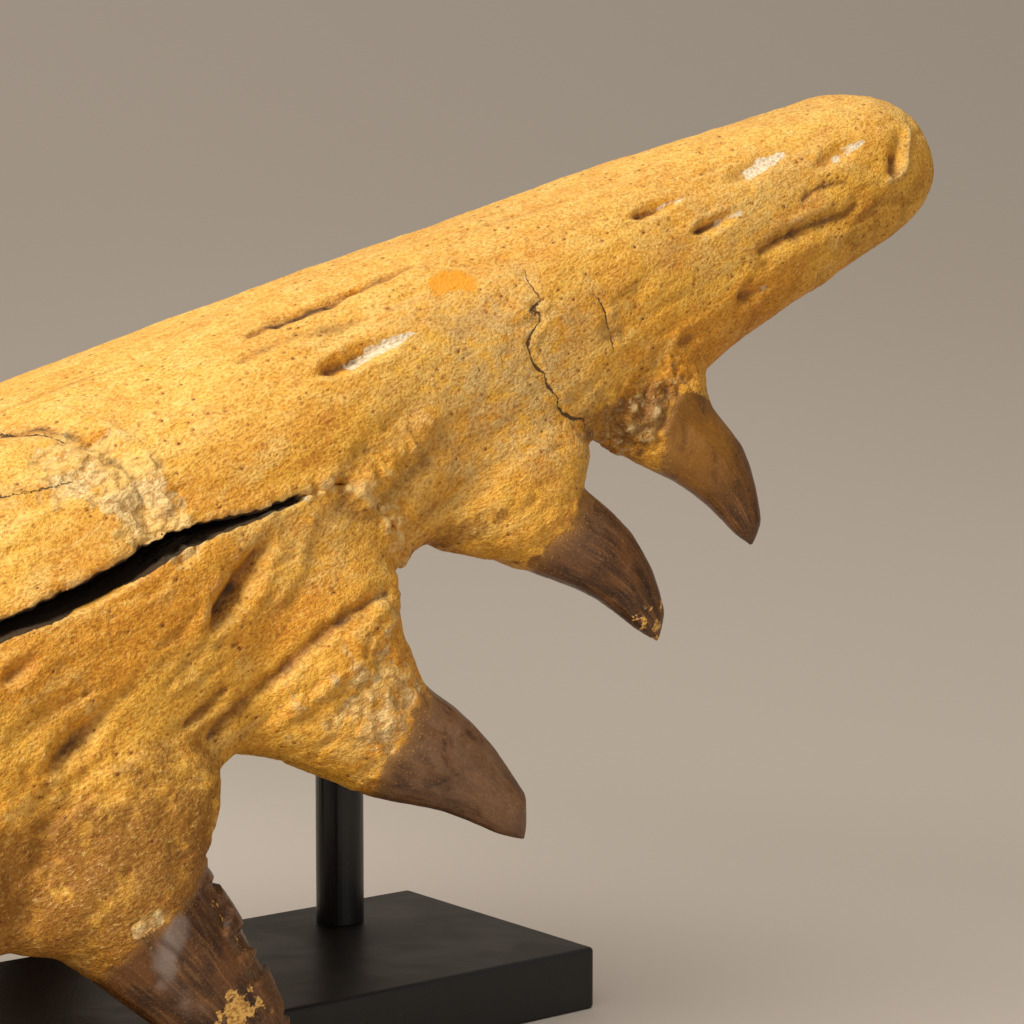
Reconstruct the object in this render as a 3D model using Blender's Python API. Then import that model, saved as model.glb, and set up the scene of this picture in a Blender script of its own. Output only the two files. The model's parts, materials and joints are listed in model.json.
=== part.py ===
"""Snout end of a fossil mosasaur skull on a steel plate with one round rod.

Skull frame: a runs forward along the snout, t to the animal's left, b up.
The frame is pitched nose up and turned a little away from the front, and the
right-hand tooth row faces -Y.  All lengths are in metres.
"""
import math

import bmesh
import bpy
import numpy as np
from mathutils import Matrix, Vector

MM = 0.001

# ---------------------------------------------------------------- sizes
PITCH = math.radians(25.0)          # nose up
YAW = math.radians(28.0)            # snout turned away
SKULL_AT = (-71.82 * MM, -22.87 * MM, 0.0)   # where the skull frame starts

REAR_A = -12.0                      # broken rear face
NOSE_START_A = 284.0                # the blunt nose rounds off from here
NOSE_TIP_A = 317.3
NOSE_TIP_B = 87.0

# outline along the snout, (a, value) in millimetres
ROOF = ((-12, 144.0), (61, 138.0), (111, 133.4), (165, 127.8), (224, 121.4), (255, 117.1),
        (284, 112.9))
MARGIN = ((-12, 44.5), (-2, 41.4), (30, 46.0), (60, 50.3), (90, 59.5), (119, 67.2),
          (177, 67.2), (215, 66.6), (240, 69.3), (264, 69.8), (284, 70.9))
HALF_WIDTH = ((-12, 67.0), (27, 61.0), (60, 56.0), (90, 50.5), (119, 45.0),
              (150, 39.5), (200, 32.0), (240, 27.5), (270, 25.0), (284, 23.8))
ROW_HALF = ((-12, 58.5), (27, 52.0), (90, 41.5), (150, 31.5), (200, 23.0), (240, 16.5),
            (284, 11.0))
VAULT = ((-12, 14.0), (60, 11.0), (119, 7.5), (200, 3.5), (240, 0.6), (284, 0.2))
WIDEST_AT = 0.44                    # of the height, from the margin up
ROOF_ROUND = 2.15                   # superellipse exponent of the roof

RINGS_BODY = 25
RINGS_NOSE = 7
ROOF_STEPS = 9
FLANK_STEPS = 5
PALATE_STEPS = 4

# suture between premaxilla and maxilla: (a, b) of the two lips of the gap
GAP_TOP = ((-40, 108.0), (0, 105.2), (27, 103.3), (50, 101.8), (64, 101.4), (74, 100.3),
           (89, 96.2), (101, 94.6))
GAP_LOW = ((-40, 105.8), (0, 103.0), (27, 100.5), (43, 97.8), (52, 97.3), (70, 98.4),
           (79, 96.9), (90, 95.3))
MAXILLA_FRONT = ((101, 93.8), (109, 92.5), (113.6, 87.4), (117.5, 76.3), (117.0, 66.0))
BELOW_FRONT = ((126.0, 50.0), (136.0, 20.0), (136.0, -60.0))   # between second and third tooth
JOINT_GAP = 0.3
PALATE_HALF_REAR = 30.0
PALATE_HALF_FRONT = 11.0
PALATE_FRONT_A = 115.0

# teeth: front edge and back edge of each ring (a, b), then half thickness
TOOTH_1 = (((213, 80), (186, 80), 7.0), ((217.5, 68), (179.5, 68), 8.5),
           ((215.2, 60), (187, 59), 8.2), ((218.1, 47.5), (197.4, 47), 7.0),
           ((216.8, 37.5), (202.8, 37.5), 5.2), ((214, 28.8), (206, 28.6), 3.3))
TIP_1 = (208.6, 22.8)
TOOTH_2 = (((168, 80), (134, 80), 8.0), ((177, 69), (126.5, 67.5), 10.0),
           ((170, 61.5), (135, 59.3), 9.8), ((171.6, 57), (142, 54.5), 9.0),
           ((176.2, 45.5), (152.3, 44.5), 7.6), ((176.9, 35), (160, 35.8), 5.7),
           ((175, 25), (166, 24.6), 3.4))
TIP_2 = (170.0, 17.8)
TOOTH_3 = (((108, 82), (68, 74), 9.0), ((115, 67), (61, 51), 13.0),
           ((110.3, 59.5), (67.5, 46.6), 13.5), ((109.5, 51), (74, 39.5), 12.6),
           ((108.3, 44), (81.5, 30.4), 11.2), ((112.8, 34.5), (89.5, 22.8), 9.6),
           ((116.8, 22.5), (99.5, 14.6), 7.4), ((118.6, 9), (108.4, 4.0), 4.6))
TIP_3 = (114.0, -1.6)
TOOTH_4 = (((48, 70), (2, 60), 10.0), ((56, 51.5), (-3, 42.5), 14.0),
           ((48.5, 41.5), (6, 36), 14.5), ((44, 36), (10, 30), 13.4),
           ((45.4, 25), (13.8, 22), 11.6), ((45.8, 13), (18.6, 11.5), 9.2),
           ((45.4, 2), (25, 0), 6.6), ((43.6, -5.5), (32.6, -8), 4.2))
TIP_4 = (40.8, -12.6)
TOOTH_SIDES = 14
SPLAY = math.radians(9.0)           # crowns lean outward
# crown length kept on each side: on the left the first crown is broken off at its
# root and the second is a young one, half grown
CROWN_RIGHT = (1.0, 1.0, 1.0, 1.0)
CROWN_LEFT = (0.18, 0.5, 0.96, 0.94)

# stand
PLATE_LENGTH = 180.0 * MM
PLATE_WIDTH = 77.0 * MM
PLATE_THICK = 15.0 * MM
PLATE_EDGE = 1.0 * MM
PLATE_TURN = math.radians(38.2)    # of the long side, in plan
PLATE_AT = (-34.52 * MM, -14.37 * MM)
ROD_R = 6.0 * MM
ROD_AT = (-3.22 * MM, 36.73 * MM)
ROD_TOP = 130.0 * MM
ROD_CLEAR = 0.3 * MM
ROD_SIDES = 40

# ------------------------------------------------------------- materials
FINISH = {
    "bone": ((0.72, 0.44, 0.14), 0.72, 0.0),
    "matrix_bone": ((0.60, 0.42, 0.20), 0.85, 0.0),
    "plate_black": ((0.030, 0.029, 0.028), 0.42, 0.6),
    "rod_black": ((0.022, 0.021, 0.020), 0.35, 0.6),
}


def material(name):
    color, rough, metal = FINISH[name]
    mat = bpy.data.materials.new(name)
    mat.use_nodes = True
    bsdf = mat.node_tree.nodes["Principled BSDF"]
    bsdf.inputs["Base Color"].default_value = (*color, 1.0)
    bsdf.inputs["Roughness"].default_value = rough
    bsdf.inputs["Metallic"].default_value = metal
    return mat


def curve(stations, a):
    """Smooth value at a through the stations, with no overshoot."""
    xs = [s[0] for s in stations]
    ys = [s[1] for s in stations]
    if a <= xs[0]:
        return ys[0] + (a - xs[0]) * (ys[1] - ys[0]) / (xs[1] - xs[0])
    if a >= xs[-1]:
        return ys[-1] + (a - xs[-1]) * (ys[-1] - ys[-2]) / (xs[-1] - xs[-2])
    slopes = [(ys[i + 1] - ys[i]) / (xs[i + 1] - xs[i]) for i in range(len(xs) - 1)]
    tangents = [slopes[0]]
    for left, right in zip(slopes, slopes[1:]):
        tangents.append(0.0 if left * right <= 0 else 2 * left * right / (left + right))
    tangents.append(slopes[-1])
    i = max(k for k in range(len(xs) - 1) if xs[k] <= a)
    h = xs[i + 1] - xs[i]
    u = (a - xs[i]) / h
    return ((2 * u**3 - 3 * u**2 + 1) * ys[i] + (u**3 - 2 * u**2 + u) * h * tangents[i]
            + (3 * u**2 - 2 * u**3) * ys[i + 1] + (u**3 - u**2) * h * tangents[i + 1])


def section(a, shrink=1.0):
    """Closed outline (t, b) of the snout at a; shrink pulls it to the nose's middle."""
    roof, margin = curve(ROOF, a), curve(MARGIN, a)
    half, row, vault = curve(HALF_WIDTH, a), curve(ROW_HALF, a), curve(VAULT, a)
    waist = margin + WIDEST_AT * (roof - margin)
    right = []
    power = 2.0 / ROOF_ROUND
    for i in range(ROOF_STEPS + 1):
        turn = math.pi / 2 * (1 - i / ROOF_STEPS)
        right.append((half * max(0.0, math.cos(turn)) ** power if i else 0.0,
                      waist + (roof - waist) * math.sin(turn) ** power if turn > 0 else waist))
    for i in range(1, FLANK_STEPS + 1):
        turn = math.pi / 2 * i / FLANK_STEPS
        right.append((row + (half - row) * math.cos(turn) ** 0.9 if i < FLANK_STEPS else row,
                      waist - (waist - margin) * math.sin(turn) ** 0.9))
    for i in range(1, PALATE_STEPS + 1):
        u = i / PALATE_STEPS
        right.append((row * (1 - u), margin + vault * math.sin(math.pi / 2 * u)))
    loop = [(-t, b) for t, b in right] + [(t, b) for t, b in right[-2:0:-1]]
    middle = NOSE_TIP_B
    return [(t * shrink, middle + (b - middle) * shrink) for t, b in loop]


def skin(bm, rings):
    for ring, following in zip(rings, rings[1:]):
        n = len(ring)
        for i in range(n):
            j = (i + 1) % n
            bm.faces.new((ring[i], ring[j], following[j], following[i]))


def outward(bm):
    bmesh.ops.recalc_face_normals(bm, faces=bm.faces[:])
    volume = bm.calc_volume(signed=True)
    if volume < 0:
        bmesh.ops.reverse_faces(bm, faces=bm.faces[:])


def finish(bm, name, triangles=True):
    if triangles:
        bmesh.ops.triangulate(bm, faces=bm.faces[:])
    outward(bm)
    mesh = bpy.data.meshes.new(name)
    bm.to_mesh(mesh)
    bm.free()
    obj = bpy.data.objects.new(name, mesh)
    bpy.context.scene.collection.objects.link(obj)
    return obj


def snout_body():
    """The whole snout with no teeth: one loft from the broken face to the nose."""
    bm = bmesh.new()
    rings = []
    for i in range(RINGS_BODY):
        a = REAR_A + (NOSE_START_A - REAR_A) * i / (RINGS_BODY - 1)
        rings.append([bm.verts.new((a * MM, t * MM, b * MM)) for t, b in section(a)])
    for i in range(1, RINGS_NOSE):
        turn = math.pi / 2 * i / RINGS_NOSE
        a = NOSE_START_A + (NOSE_TIP_A - NOSE_START_A) * math.sin(turn)
        loop = section(NOSE_START_A + 6 * math.sin(turn), math.cos(turn))
        rings.append([bm.verts.new((a * MM, t * MM, b * MM)) for t, b in loop])
    skin(bm, rings)
    tip = bm.verts.new((NOSE_TIP_A * MM, 0, NOSE_TIP_B * MM))
    last = rings[-1]
    for i in range(len(last)):
        bm.faces.new((last[i], last[(i + 1) % len(last)], tip))
    # the broken face: three inset loops with a low uneven relief
    outer = rings[0]
    centre_t = 0.0
    centre_b = 92.0 * MM
    previous = outer
    for k, keep in enumerate((0.9, 0.6, 0.3)):
        loop = []
        for i, v in enumerate(outer):
            angle = 2 * math.pi * i / len(outer)
            relief = 1.6 * math.sin(3 * angle + k) + 1.3 * math.sin(5 * angle - 2 * k)
            loop.append(bm.verts.new((v.co.x - (1.5 + relief) * MM,
                                      centre_t + (v.co.y - centre_t) * keep,
                                      centre_b + (v.co.z - centre_b) * keep)))
        skin(bm, [loop, previous])
        previous = loop
    bm.faces.new(previous)
    return finish(bm, "snout")


def tooth(name, rings_at, tip, side, keep, row_a):
    """Root and crown as one loft of ellipses; side is -1 right, +1 left."""
    row = curve(ROW_HALF, row_a)
    front = np.array([r[0] for r in rings_at], float)
    back = np.array([r[1] for r in rings_at], float)
    thick = np.array([r[2] for r in rings_at], float)
    middle = (front + back) / 2
    # crown rings are drawn towards the neck when the crown is shorter
    neck = 2
    for i in range(neck + 1, len(rings_at)):
        shift = (middle[i] - middle[neck]) * (keep - 1)
        front[i] += shift
        back[i] += shift
    tip = np.array(tip, float) + (np.array(tip, float) - middle[neck]) * (keep - 1)
    # two rings between each pair of stations
    steps = np.linspace(0, len(rings_at) - 1, 2 * len(rings_at) - 1)
    index = np.arange(len(rings_at))

    def at(values, u):
        return curve(tuple(zip(index, values)), u)

    bm = bmesh.new()
    rings = []
    for u in steps:
        f = np.array((at(front[:, 0], u), at(front[:, 1], u)))
        g = np.array((at(back[:, 0], u), at(back[:, 1], u)))
        h = at(thick, u)
        m = (f + g) / 2
        lean = max(0.0, middle[neck][1] - m[1]) * math.tan(SPLAY)
        loop = []
        for i in range(TOOTH_SIDES):
            angle = 2 * math.pi * i / TOOTH_SIDES
            p = m + (f - m) * math.cos(angle)
            loop.append(bm.verts.new((p[0] * MM, (side * (row + lean) + h * math.sin(angle)) * MM,
                                      p[1] * MM)))
        rings.append(loop)
    skin(bm, rings)
    lean = max(0.0, middle[neck][1] - tip[1]) * math.tan(SPLAY)
    end = bm.verts.new((tip[0] * MM, side * (row + lean) * MM, tip[1] * MM))
    for i in range(TOOTH_SIDES):
        bm.faces.new((rings[-1][i], rings[-1][(i + 1) % TOOTH_SIDES], end))
    bm.faces.new(rings[0])
    return finish(bm, name)


def slab(name, outline, low_t, high_t):
    """Side outline (a, b) pushed across from low_t to high_t."""
    bm = bmesh.new()
    near = [bm.verts.new((a * MM, low_t * MM, b * MM)) for a, b in outline]
    far = [bm.verts.new((a * MM, high_t * MM, b * MM)) for a, b in outline]
    skin(bm, [near, far])
    bm.faces.new(near)
    bm.faces.new(far)
    return finish(bm, name, triangles=False)


def wedge(name, outline, low, high):
    """Like slab, but its two sides follow low(a) and high(a)."""
    bm = bmesh.new()
    near = [bm.verts.new((a * MM, low(a) * MM, b * MM)) for a, b in outline]
    far = [bm.verts.new((a * MM, high(a) * MM, b * MM)) for a, b in outline]
    skin(bm, [near, far])
    bm.faces.new(near)
    bm.faces.new(far)
    return finish(bm, name, triangles=False)


def combine(obj, other, operation, keep_other=False):
    mod = obj.modifiers.new("combine", "BOOLEAN")
    mod.operation = operation
    mod.solver = "EXACT"
    mod.object = other
    bpy.context.view_layer.update()
    graph = bpy.context.evaluated_depsgraph_get()
    mesh = bpy.data.meshes.new_from_object(obj.evaluated_get(graph))
    obj.modifiers.clear()
    old = obj.data
    obj.data = mesh
    bpy.data.meshes.remove(old)
    if not keep_other:
        bpy.data.objects.remove(other, do_unlink=True)
    return obj


def tidy(obj, slot):
    bm = bmesh.new()
    bm.from_mesh(obj.data)
    bmesh.ops.remove_doubles(bm, verts=bm.verts[:], dist=0.000002)
    bmesh.ops.triangulate(bm, faces=bm.faces[:])
    bm.to_mesh(obj.data)
    bm.free()
    obj.data.materials.clear()
    obj.data.materials.append(MATERIALS[slot])
    obj.data.shade_smooth()
    obj.data.set_sharp_from_angle(angle=math.radians(38))
    return obj


def duplicate(obj, name):
    copy = obj.copy()
    copy.data = obj.data.copy()
    copy.name = name
    bpy.context.scene.collection.objects.link(copy)
    return copy


# ----------------------------------------------------------------- build
for item in list(bpy.data.objects):
    bpy.data.objects.remove(item, do_unlink=True)
MATERIALS = {name: material(name) for name in FINISH}

whole = snout_body()
for number, (rings_at, tip, row_a) in enumerate(((TOOTH_1, TIP_1, 200), (TOOTH_2, TIP_2, 150),
                                                 (TOOTH_3, TIP_3, 90), (TOOTH_4, TIP_4, 27))):
    for side, keep in ((-1, CROWN_RIGHT[number]), (1, CROWN_LEFT[number])):
        combine(whole, tooth("tooth", rings_at, tip, side, keep, row_a), "UNION")

FAR = 110.0
below_top = ([(a, b) for a, b in GAP_TOP]
             + [(a + JOINT_GAP, b + JOINT_GAP) for a, b in MAXILLA_FRONT + BELOW_FRONT]
             + [(-40, -60)])
below_low = list(GAP_LOW + MAXILLA_FRONT + BELOW_FRONT) + [(-40, -60)]
core_top = ([(a, b - 2 * JOINT_GAP) for a, b in GAP_TOP] + [(PALATE_FRONT_A - 6, 90.8), (PALATE_FRONT_A, 80)]
            + [(PALATE_FRONT_A, -60), (-40, -60)])


def palate_half(a):
    u = (a - REAR_A) / (PALATE_FRONT_A - REAR_A)
    return PALATE_HALF_REAR + (PALATE_HALF_FRONT - PALATE_HALF_REAR) * u


premaxilla = duplicate(whole, "premaxilla")
combine(premaxilla, slab("cut", below_top, -FAR, FAR), "DIFFERENCE")
maxilla_right = duplicate(whole, "maxilla_right")
combine(maxilla_right, wedge("cut", below_low, lambda a: -FAR,
                             lambda a: -palate_half(a) - JOINT_GAP), "INTERSECT")
maxilla_left = duplicate(whole, "maxilla_left")
combine(maxilla_left, wedge("cut", below_low, lambda a: palate_half(a) + JOINT_GAP,
                            lambda a: FAR), "INTERSECT")
palate = duplicate(whole, "palate")
combine(palate, wedge("cut", core_top, lambda a: -palate_half(a), palate_half), "INTERSECT")
bpy.data.objects.remove(whole, do_unlink=True)

# the skull stands on an empty that holds its pitch and turn
axis = bpy.data.objects.new("skull_axis", None)
bpy.context.scene.collection.objects.link(axis)
axis.location = SKULL_AT
axis.rotation_euler = (0.0, -PITCH, YAW)
bones = (premaxilla, maxilla_right, maxilla_left, palate)
for bone in bones:
    bone.parent = axis
bpy.context.view_layer.update()


def cylinder(name, radius, low, high, sides, at):
    bm = bmesh.new()
    bmesh.ops.create_cone(bm, cap_ends=True, segments=sides, radius1=radius, radius2=radius,
                          depth=high - low)
    bmesh.ops.translate(bm, verts=bm.verts[:], vec=(at[0], at[1], (low + high) / 2))
    return finish(bm, name)


# the rod ends in a hole drilled up into the left side of the palate
for bone in (premaxilla, maxilla_left, palate):
    drill = cylinder("drill", ROD_R + ROD_CLEAR, 90 * MM, ROD_TOP + ROD_CLEAR, ROD_SIDES, ROD_AT)
    combine(bone, drill, "DIFFERENCE")

for bone in (premaxilla, maxilla_right, maxilla_left):
    tidy(bone, "bone")
tidy(palate, "matrix_bone")

rod = cylinder("mount_rod", ROD_R, PLATE_THICK + ROD_CLEAR, ROD_TOP, ROD_SIDES, ROD_AT)
tidy(rod, "rod_black")

bm = bmesh.new()
bmesh.ops.create_cube(bm, size=1.0)
bmesh.ops.scale(bm, verts=bm.verts[:], vec=(PLATE_LENGTH, PLATE_WIDTH, PLATE_THICK))
bmesh.ops.bevel(bm, geom=bm.edges[:], offset=PLATE_EDGE, segments=3, profile=0.5, affect="EDGES")
plate = finish(bm, "mount_base")
plate.location = (PLATE_AT[0], PLATE_AT[1], PLATE_THICK / 2)
plate.rotation_euler = (0.0, 0.0, PLATE_TURN)
tidy(plate, "plate_black")
bpy.context.view_layer.update()
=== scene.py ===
"""Looks of a fossil mosasaur snout on its steel stand.

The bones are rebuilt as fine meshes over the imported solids, in the skull's own
frame: a forward along the snout, t to the animal's left, b up, in millimetres.
"""

import json
import math

import bpy
import numpy as np
from mathutils import Euler, Matrix, Vector

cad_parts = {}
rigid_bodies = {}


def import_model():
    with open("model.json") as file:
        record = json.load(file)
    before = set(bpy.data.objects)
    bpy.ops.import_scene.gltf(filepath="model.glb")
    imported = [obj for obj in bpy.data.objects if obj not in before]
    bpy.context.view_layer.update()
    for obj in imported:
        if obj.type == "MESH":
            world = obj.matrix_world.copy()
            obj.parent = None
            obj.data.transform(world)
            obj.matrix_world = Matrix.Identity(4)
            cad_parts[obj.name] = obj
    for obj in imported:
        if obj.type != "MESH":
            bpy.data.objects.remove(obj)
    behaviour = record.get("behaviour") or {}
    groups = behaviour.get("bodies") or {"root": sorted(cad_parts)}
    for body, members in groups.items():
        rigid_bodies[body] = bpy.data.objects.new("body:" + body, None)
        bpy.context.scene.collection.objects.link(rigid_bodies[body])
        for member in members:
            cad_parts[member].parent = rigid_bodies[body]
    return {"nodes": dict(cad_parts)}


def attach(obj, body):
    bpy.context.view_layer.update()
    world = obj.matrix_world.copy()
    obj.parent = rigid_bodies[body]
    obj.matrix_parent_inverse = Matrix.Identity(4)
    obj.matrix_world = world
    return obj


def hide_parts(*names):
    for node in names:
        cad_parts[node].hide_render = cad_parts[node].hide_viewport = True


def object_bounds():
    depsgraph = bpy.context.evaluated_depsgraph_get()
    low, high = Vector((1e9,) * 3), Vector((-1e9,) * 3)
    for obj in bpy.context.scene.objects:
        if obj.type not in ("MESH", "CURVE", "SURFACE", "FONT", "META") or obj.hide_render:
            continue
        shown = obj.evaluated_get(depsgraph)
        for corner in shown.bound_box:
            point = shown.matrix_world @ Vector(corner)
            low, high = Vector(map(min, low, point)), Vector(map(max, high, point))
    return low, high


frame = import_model()
CAD_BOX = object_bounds()

MM = 0.001
PITCH = math.radians(25.0)
YAW = math.radians(28.0)
SKULL_AT = np.array((-71.82, -22.87, 0.0)) * MM
TURN = np.array(Euler((0.0, -PITCH, YAW)).to_matrix())

# ------------------------------------------------------------------ noise
_rng = np.random.RandomState(20)
_GRAD = _rng.normal(size=(256, 3))
_GRAD /= np.linalg.norm(_GRAD, axis=1)[:, None]
_PERM = _rng.permutation(256)
_JIT = _rng.uniform(size=(256, 3))


def _cell(i, j, k):
    return _PERM[(_PERM[(_PERM[i & 255] + j) & 255] + k) & 255]


def gradient_noise(q, seed=0):
    """Smooth noise, about -1 to 1."""
    q = q + np.array((17.3, 5.9, 31.7)) * (seed + 1)
    base = np.floor(q).astype(np.int64)
    f = q - base
    fade = f * f * f * (f * (f * 6 - 15) + 10)
    out = np.zeros(len(q))
    for dx in (0, 1):
        wx = fade[:, 0] if dx else 1 - fade[:, 0]
        for dy in (0, 1):
            wy = fade[:, 1] if dy else 1 - fade[:, 1]
            for dz in (0, 1):
                wz = fade[:, 2] if dz else 1 - fade[:, 2]
                g = _GRAD[_cell(base[:, 0] + dx, base[:, 1] + dy, base[:, 2] + dz)]
                out += wx * wy * wz * ((f - (dx, dy, dz)) * g).sum(1)
    return out * 1.7


def fbm(q, octaves=3, gain=0.5, seed=0):
    out = np.zeros(len(q))
    weight, total = 1.0, 0.0
    for k in range(octaves):
        out += weight * gradient_noise(q * 2.03 ** k, seed * 7 + k)
        total += weight
        weight *= gain
    return out / total


def cells(q, seed=0):
    """Distance to the nearest and second nearest of jittered points, one per unit cell."""
    q = q + np.array((7.1, 29.3, 13.7)) * (seed + 1)
    base = np.floor(q).astype(np.int64)
    one = np.full(len(q), 9.0)
    two = np.full(len(q), 9.0)
    for dx in (-1, 0, 1):
        for dy in (-1, 0, 1):
            for dz in (-1, 0, 1):
                c = base + (dx, dy, dz)
                p = c + _JIT[_cell(c[:, 0], c[:, 1], c[:, 2])]
                d = np.sqrt(((q - p) ** 2).sum(1))
                closer = d < one
                two = np.where(closer, one, np.minimum(two, d))
                one = np.where(closer, d, one)
    return one, two


def step(lo, hi, x):
    """0 below lo, 1 above hi, smooth between; lo may be the larger."""
    u = np.clip((x - lo) / (hi - lo), 0, 1)
    return u * u * (3 - 2 * u)


# --------------------------------------------------------- mesh handling
def solid_arrays(node):
    """Welded vertices in the skull frame (mm) and triangles of a CAD node."""
    me = node.data
    co = np.empty(len(me.vertices) * 3, np.float32)
    me.vertices.foreach_get("co", co)
    m = np.array(node.matrix_world)
    world = co.reshape(-1, 3).astype(float) @ m[:3, :3].T + m[:3, 3]
    local = (world - SKULL_AT) @ TURN / MM
    me.calc_loop_triangles()
    tri = np.empty(len(me.loop_triangles) * 3, np.int32)
    me.loop_triangles.foreach_get("vertices", tri)
    key, inverse = np.unique(np.round(local * 500).astype(np.int64), axis=0, return_inverse=True)
    tri = inverse.ravel()[tri].reshape(-1, 3)
    good = (tri[:, 0] != tri[:, 1]) & (tri[:, 1] != tri[:, 2]) & (tri[:, 0] != tri[:, 2])
    return key / 500.0, tri[good]


def make_object(name, points, faces):
    me = bpy.data.meshes.new(name)
    me.from_pydata((points * MM).tolist(), [], faces.tolist())
    ob = bpy.data.objects.new(name, me)
    bpy.context.scene.collection.objects.link(ob)
    return ob


def remeshed(name, points, faces, voxel):
    ob = make_object(name + "_raw", points, faces)
    mod = ob.modifiers.new("grid", "REMESH")
    mod.mode = "VOXEL"
    mod.voxel_size = voxel * MM
    mod.adaptivity = 0.0
    graph = bpy.context.evaluated_depsgraph_get()
    me = bpy.data.meshes.new_from_object(ob.evaluated_get(graph))
    old = ob.data
    bpy.data.objects.remove(ob, do_unlink=True)
    bpy.data.meshes.remove(old)
    me.name = name
    out = bpy.data.objects.new(name, me)
    bpy.context.scene.collection.objects.link(out)
    return out


def get_points(me):
    co = np.empty(len(me.vertices) * 3, np.float32)
    me.vertices.foreach_get("co", co)
    return co.reshape(-1, 3).astype(float) / MM


def get_edges(me):
    e = np.empty(len(me.edges) * 2, np.int32)
    me.edges.foreach_get("vertices", e)
    return e.reshape(-1, 2)


def get_quads(me):
    n = np.empty(len(me.polygons), np.int32)
    me.polygons.foreach_get("loop_total", n)
    start = np.empty(len(me.polygons), np.int32)
    me.polygons.foreach_get("loop_start", start)
    v = np.empty(len(me.loops), np.int32)
    me.loops.foreach_get("vertex_index", v)
    quads = v[start[n == 4][:, None] + np.arange(4)]
    tris = v[start[n == 3][:, None] + np.arange(3)]
    return quads, tris


class Net:
    """Neighbour sums on a mesh."""

    def __init__(self, me):
        self.n = len(me.vertices)
        self.e = get_edges(me)
        self.quads, self.tris = get_quads(me)
        self.count = np.maximum(np.bincount(self.e.ravel(), minlength=self.n), 1)

    def mean(self, values):
        a, b = self.e[:, 0], self.e[:, 1]
        if values.ndim == 1:
            return (np.bincount(a, values[b], self.n) + np.bincount(b, values[a], self.n)) / self.count
        return np.stack([self.mean(values[:, k]) for k in range(values.shape[1])], 1)

    def taubin(self, p, rounds, weight=1.0):
        w = weight[:, None] if isinstance(weight, np.ndarray) else weight
        for _ in range(rounds):
            p = p + 0.5 * w * (self.mean(p) - p)
            p = p - 0.52 * w * (self.mean(p) - p)
        return p

    def melt(self, p, rounds, weight):
        for _ in range(rounds):
            p = p + 0.6 * weight[:, None] * (self.mean(p) - p)
        return p

    def blur(self, values, rounds):
        for _ in range(rounds):
            values = 0.5 * values + 0.5 * self.mean(values)
        return values

    def normals(self, p):
        out = np.zeros((self.n, 3))
        for faces in (self.quads, self.tris):
            if len(faces):
                if faces.shape[1] == 4:
                    nr = np.cross(p[faces[:, 2]] - p[faces[:, 0]], p[faces[:, 3]] - p[faces[:, 1]])
                else:
                    nr = np.cross(p[faces[:, 1]] - p[faces[:, 0]], p[faces[:, 2]] - p[faces[:, 0]])
                for k in range(3):
                    for c in range(faces.shape[1]):
                        out[:, k] += np.bincount(faces[:, c], nr[:, k], self.n)
        return out / np.maximum(np.linalg.norm(out, axis=1), 1e-9)[:, None]


def store(me, name, values):
    kind = "FLOAT_VECTOR" if values.ndim == 2 else "FLOAT"
    att = me.attributes.new(name, kind, "POINT")
    att.data.foreach_set("vector" if values.ndim == 2 else "value", values.astype(np.float32).ravel())


# ---------------------------------------------------- distances to features
def to_segment(p, a, b):
    """Distance from points to the line a-b, and how far along it (mm) they lie."""
    a, b = np.array(a, float), np.array(b, float)
    d = b - a
    length = np.linalg.norm(d)
    d = d / length
    rel = p - a
    along = rel @ d
    side = np.linalg.norm(rel - along[:, None] * d, axis=1)
    return side, along, length


def to_path(p, points):
    """Distance to a broken line, and the length along it of the nearest place."""
    best = np.full(len(p), 1e9)
    place = np.zeros(len(p))
    run = 0.0
    for a, b in zip(points, points[1:]):
        a, b = np.array(a, float), np.array(b, float)
        d = b - a
        length = np.linalg.norm(d)
        u = np.clip((p - a) @ d / length ** 2, 0, 1)
        dist = np.linalg.norm(p - a - u[:, None] * d, axis=1)
        closer = dist < best
        best = np.where(closer, dist, best)
        place = np.where(closer, run + u * length, place)
        run += length
    return best, place, run


def signed_side(ab, points, open_ends=True):
    """Signed distance in the side view to a broken line; positive on its left."""
    best = np.full(len(ab), 1e9)
    sign = np.ones(len(ab))
    for k, (a, b) in enumerate(zip(points, points[1:])):
        a, b = np.array(a, float), np.array(b, float)
        d = b - a
        length = np.linalg.norm(d)
        u = (ab - a) @ d / length ** 2
        lo = -1e9 if open_ends and k == 0 else 0
        hi = 1e9 if open_ends and k == len(points) - 2 else 1
        u = np.clip(u, lo, hi)
        rel = ab - a
        dist = np.linalg.norm(rel - u[:, None] * d, axis=1)
        s = np.sign(d[0] * rel[:, 1] - d[1] * rel[:, 0])
        closer = dist < best
        best = np.where(closer, dist, best)
        sign = np.where(closer, s, sign)
    return best * sign


# ------------------------------------------------------------ what is where
ROW_HALF = ((-12, 58.5), (27, 52.0), (90, 41.5), (150, 31.5), (200, 23.0), (240, 16.5), (284, 11.0))
MARGIN = ((-12, 44.5), (-2, 41.4), (30, 46.0), (60, 50.3), (90, 59.5), (119, 67.2), (177, 67.2),
          (215, 66.6), (240, 69.3), (264, 69.8), (284, 70.9))
SPLAY = math.tan(math.radians(9.0))


T4_SPOT = (34.5, 65.0, 8.0)


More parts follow.
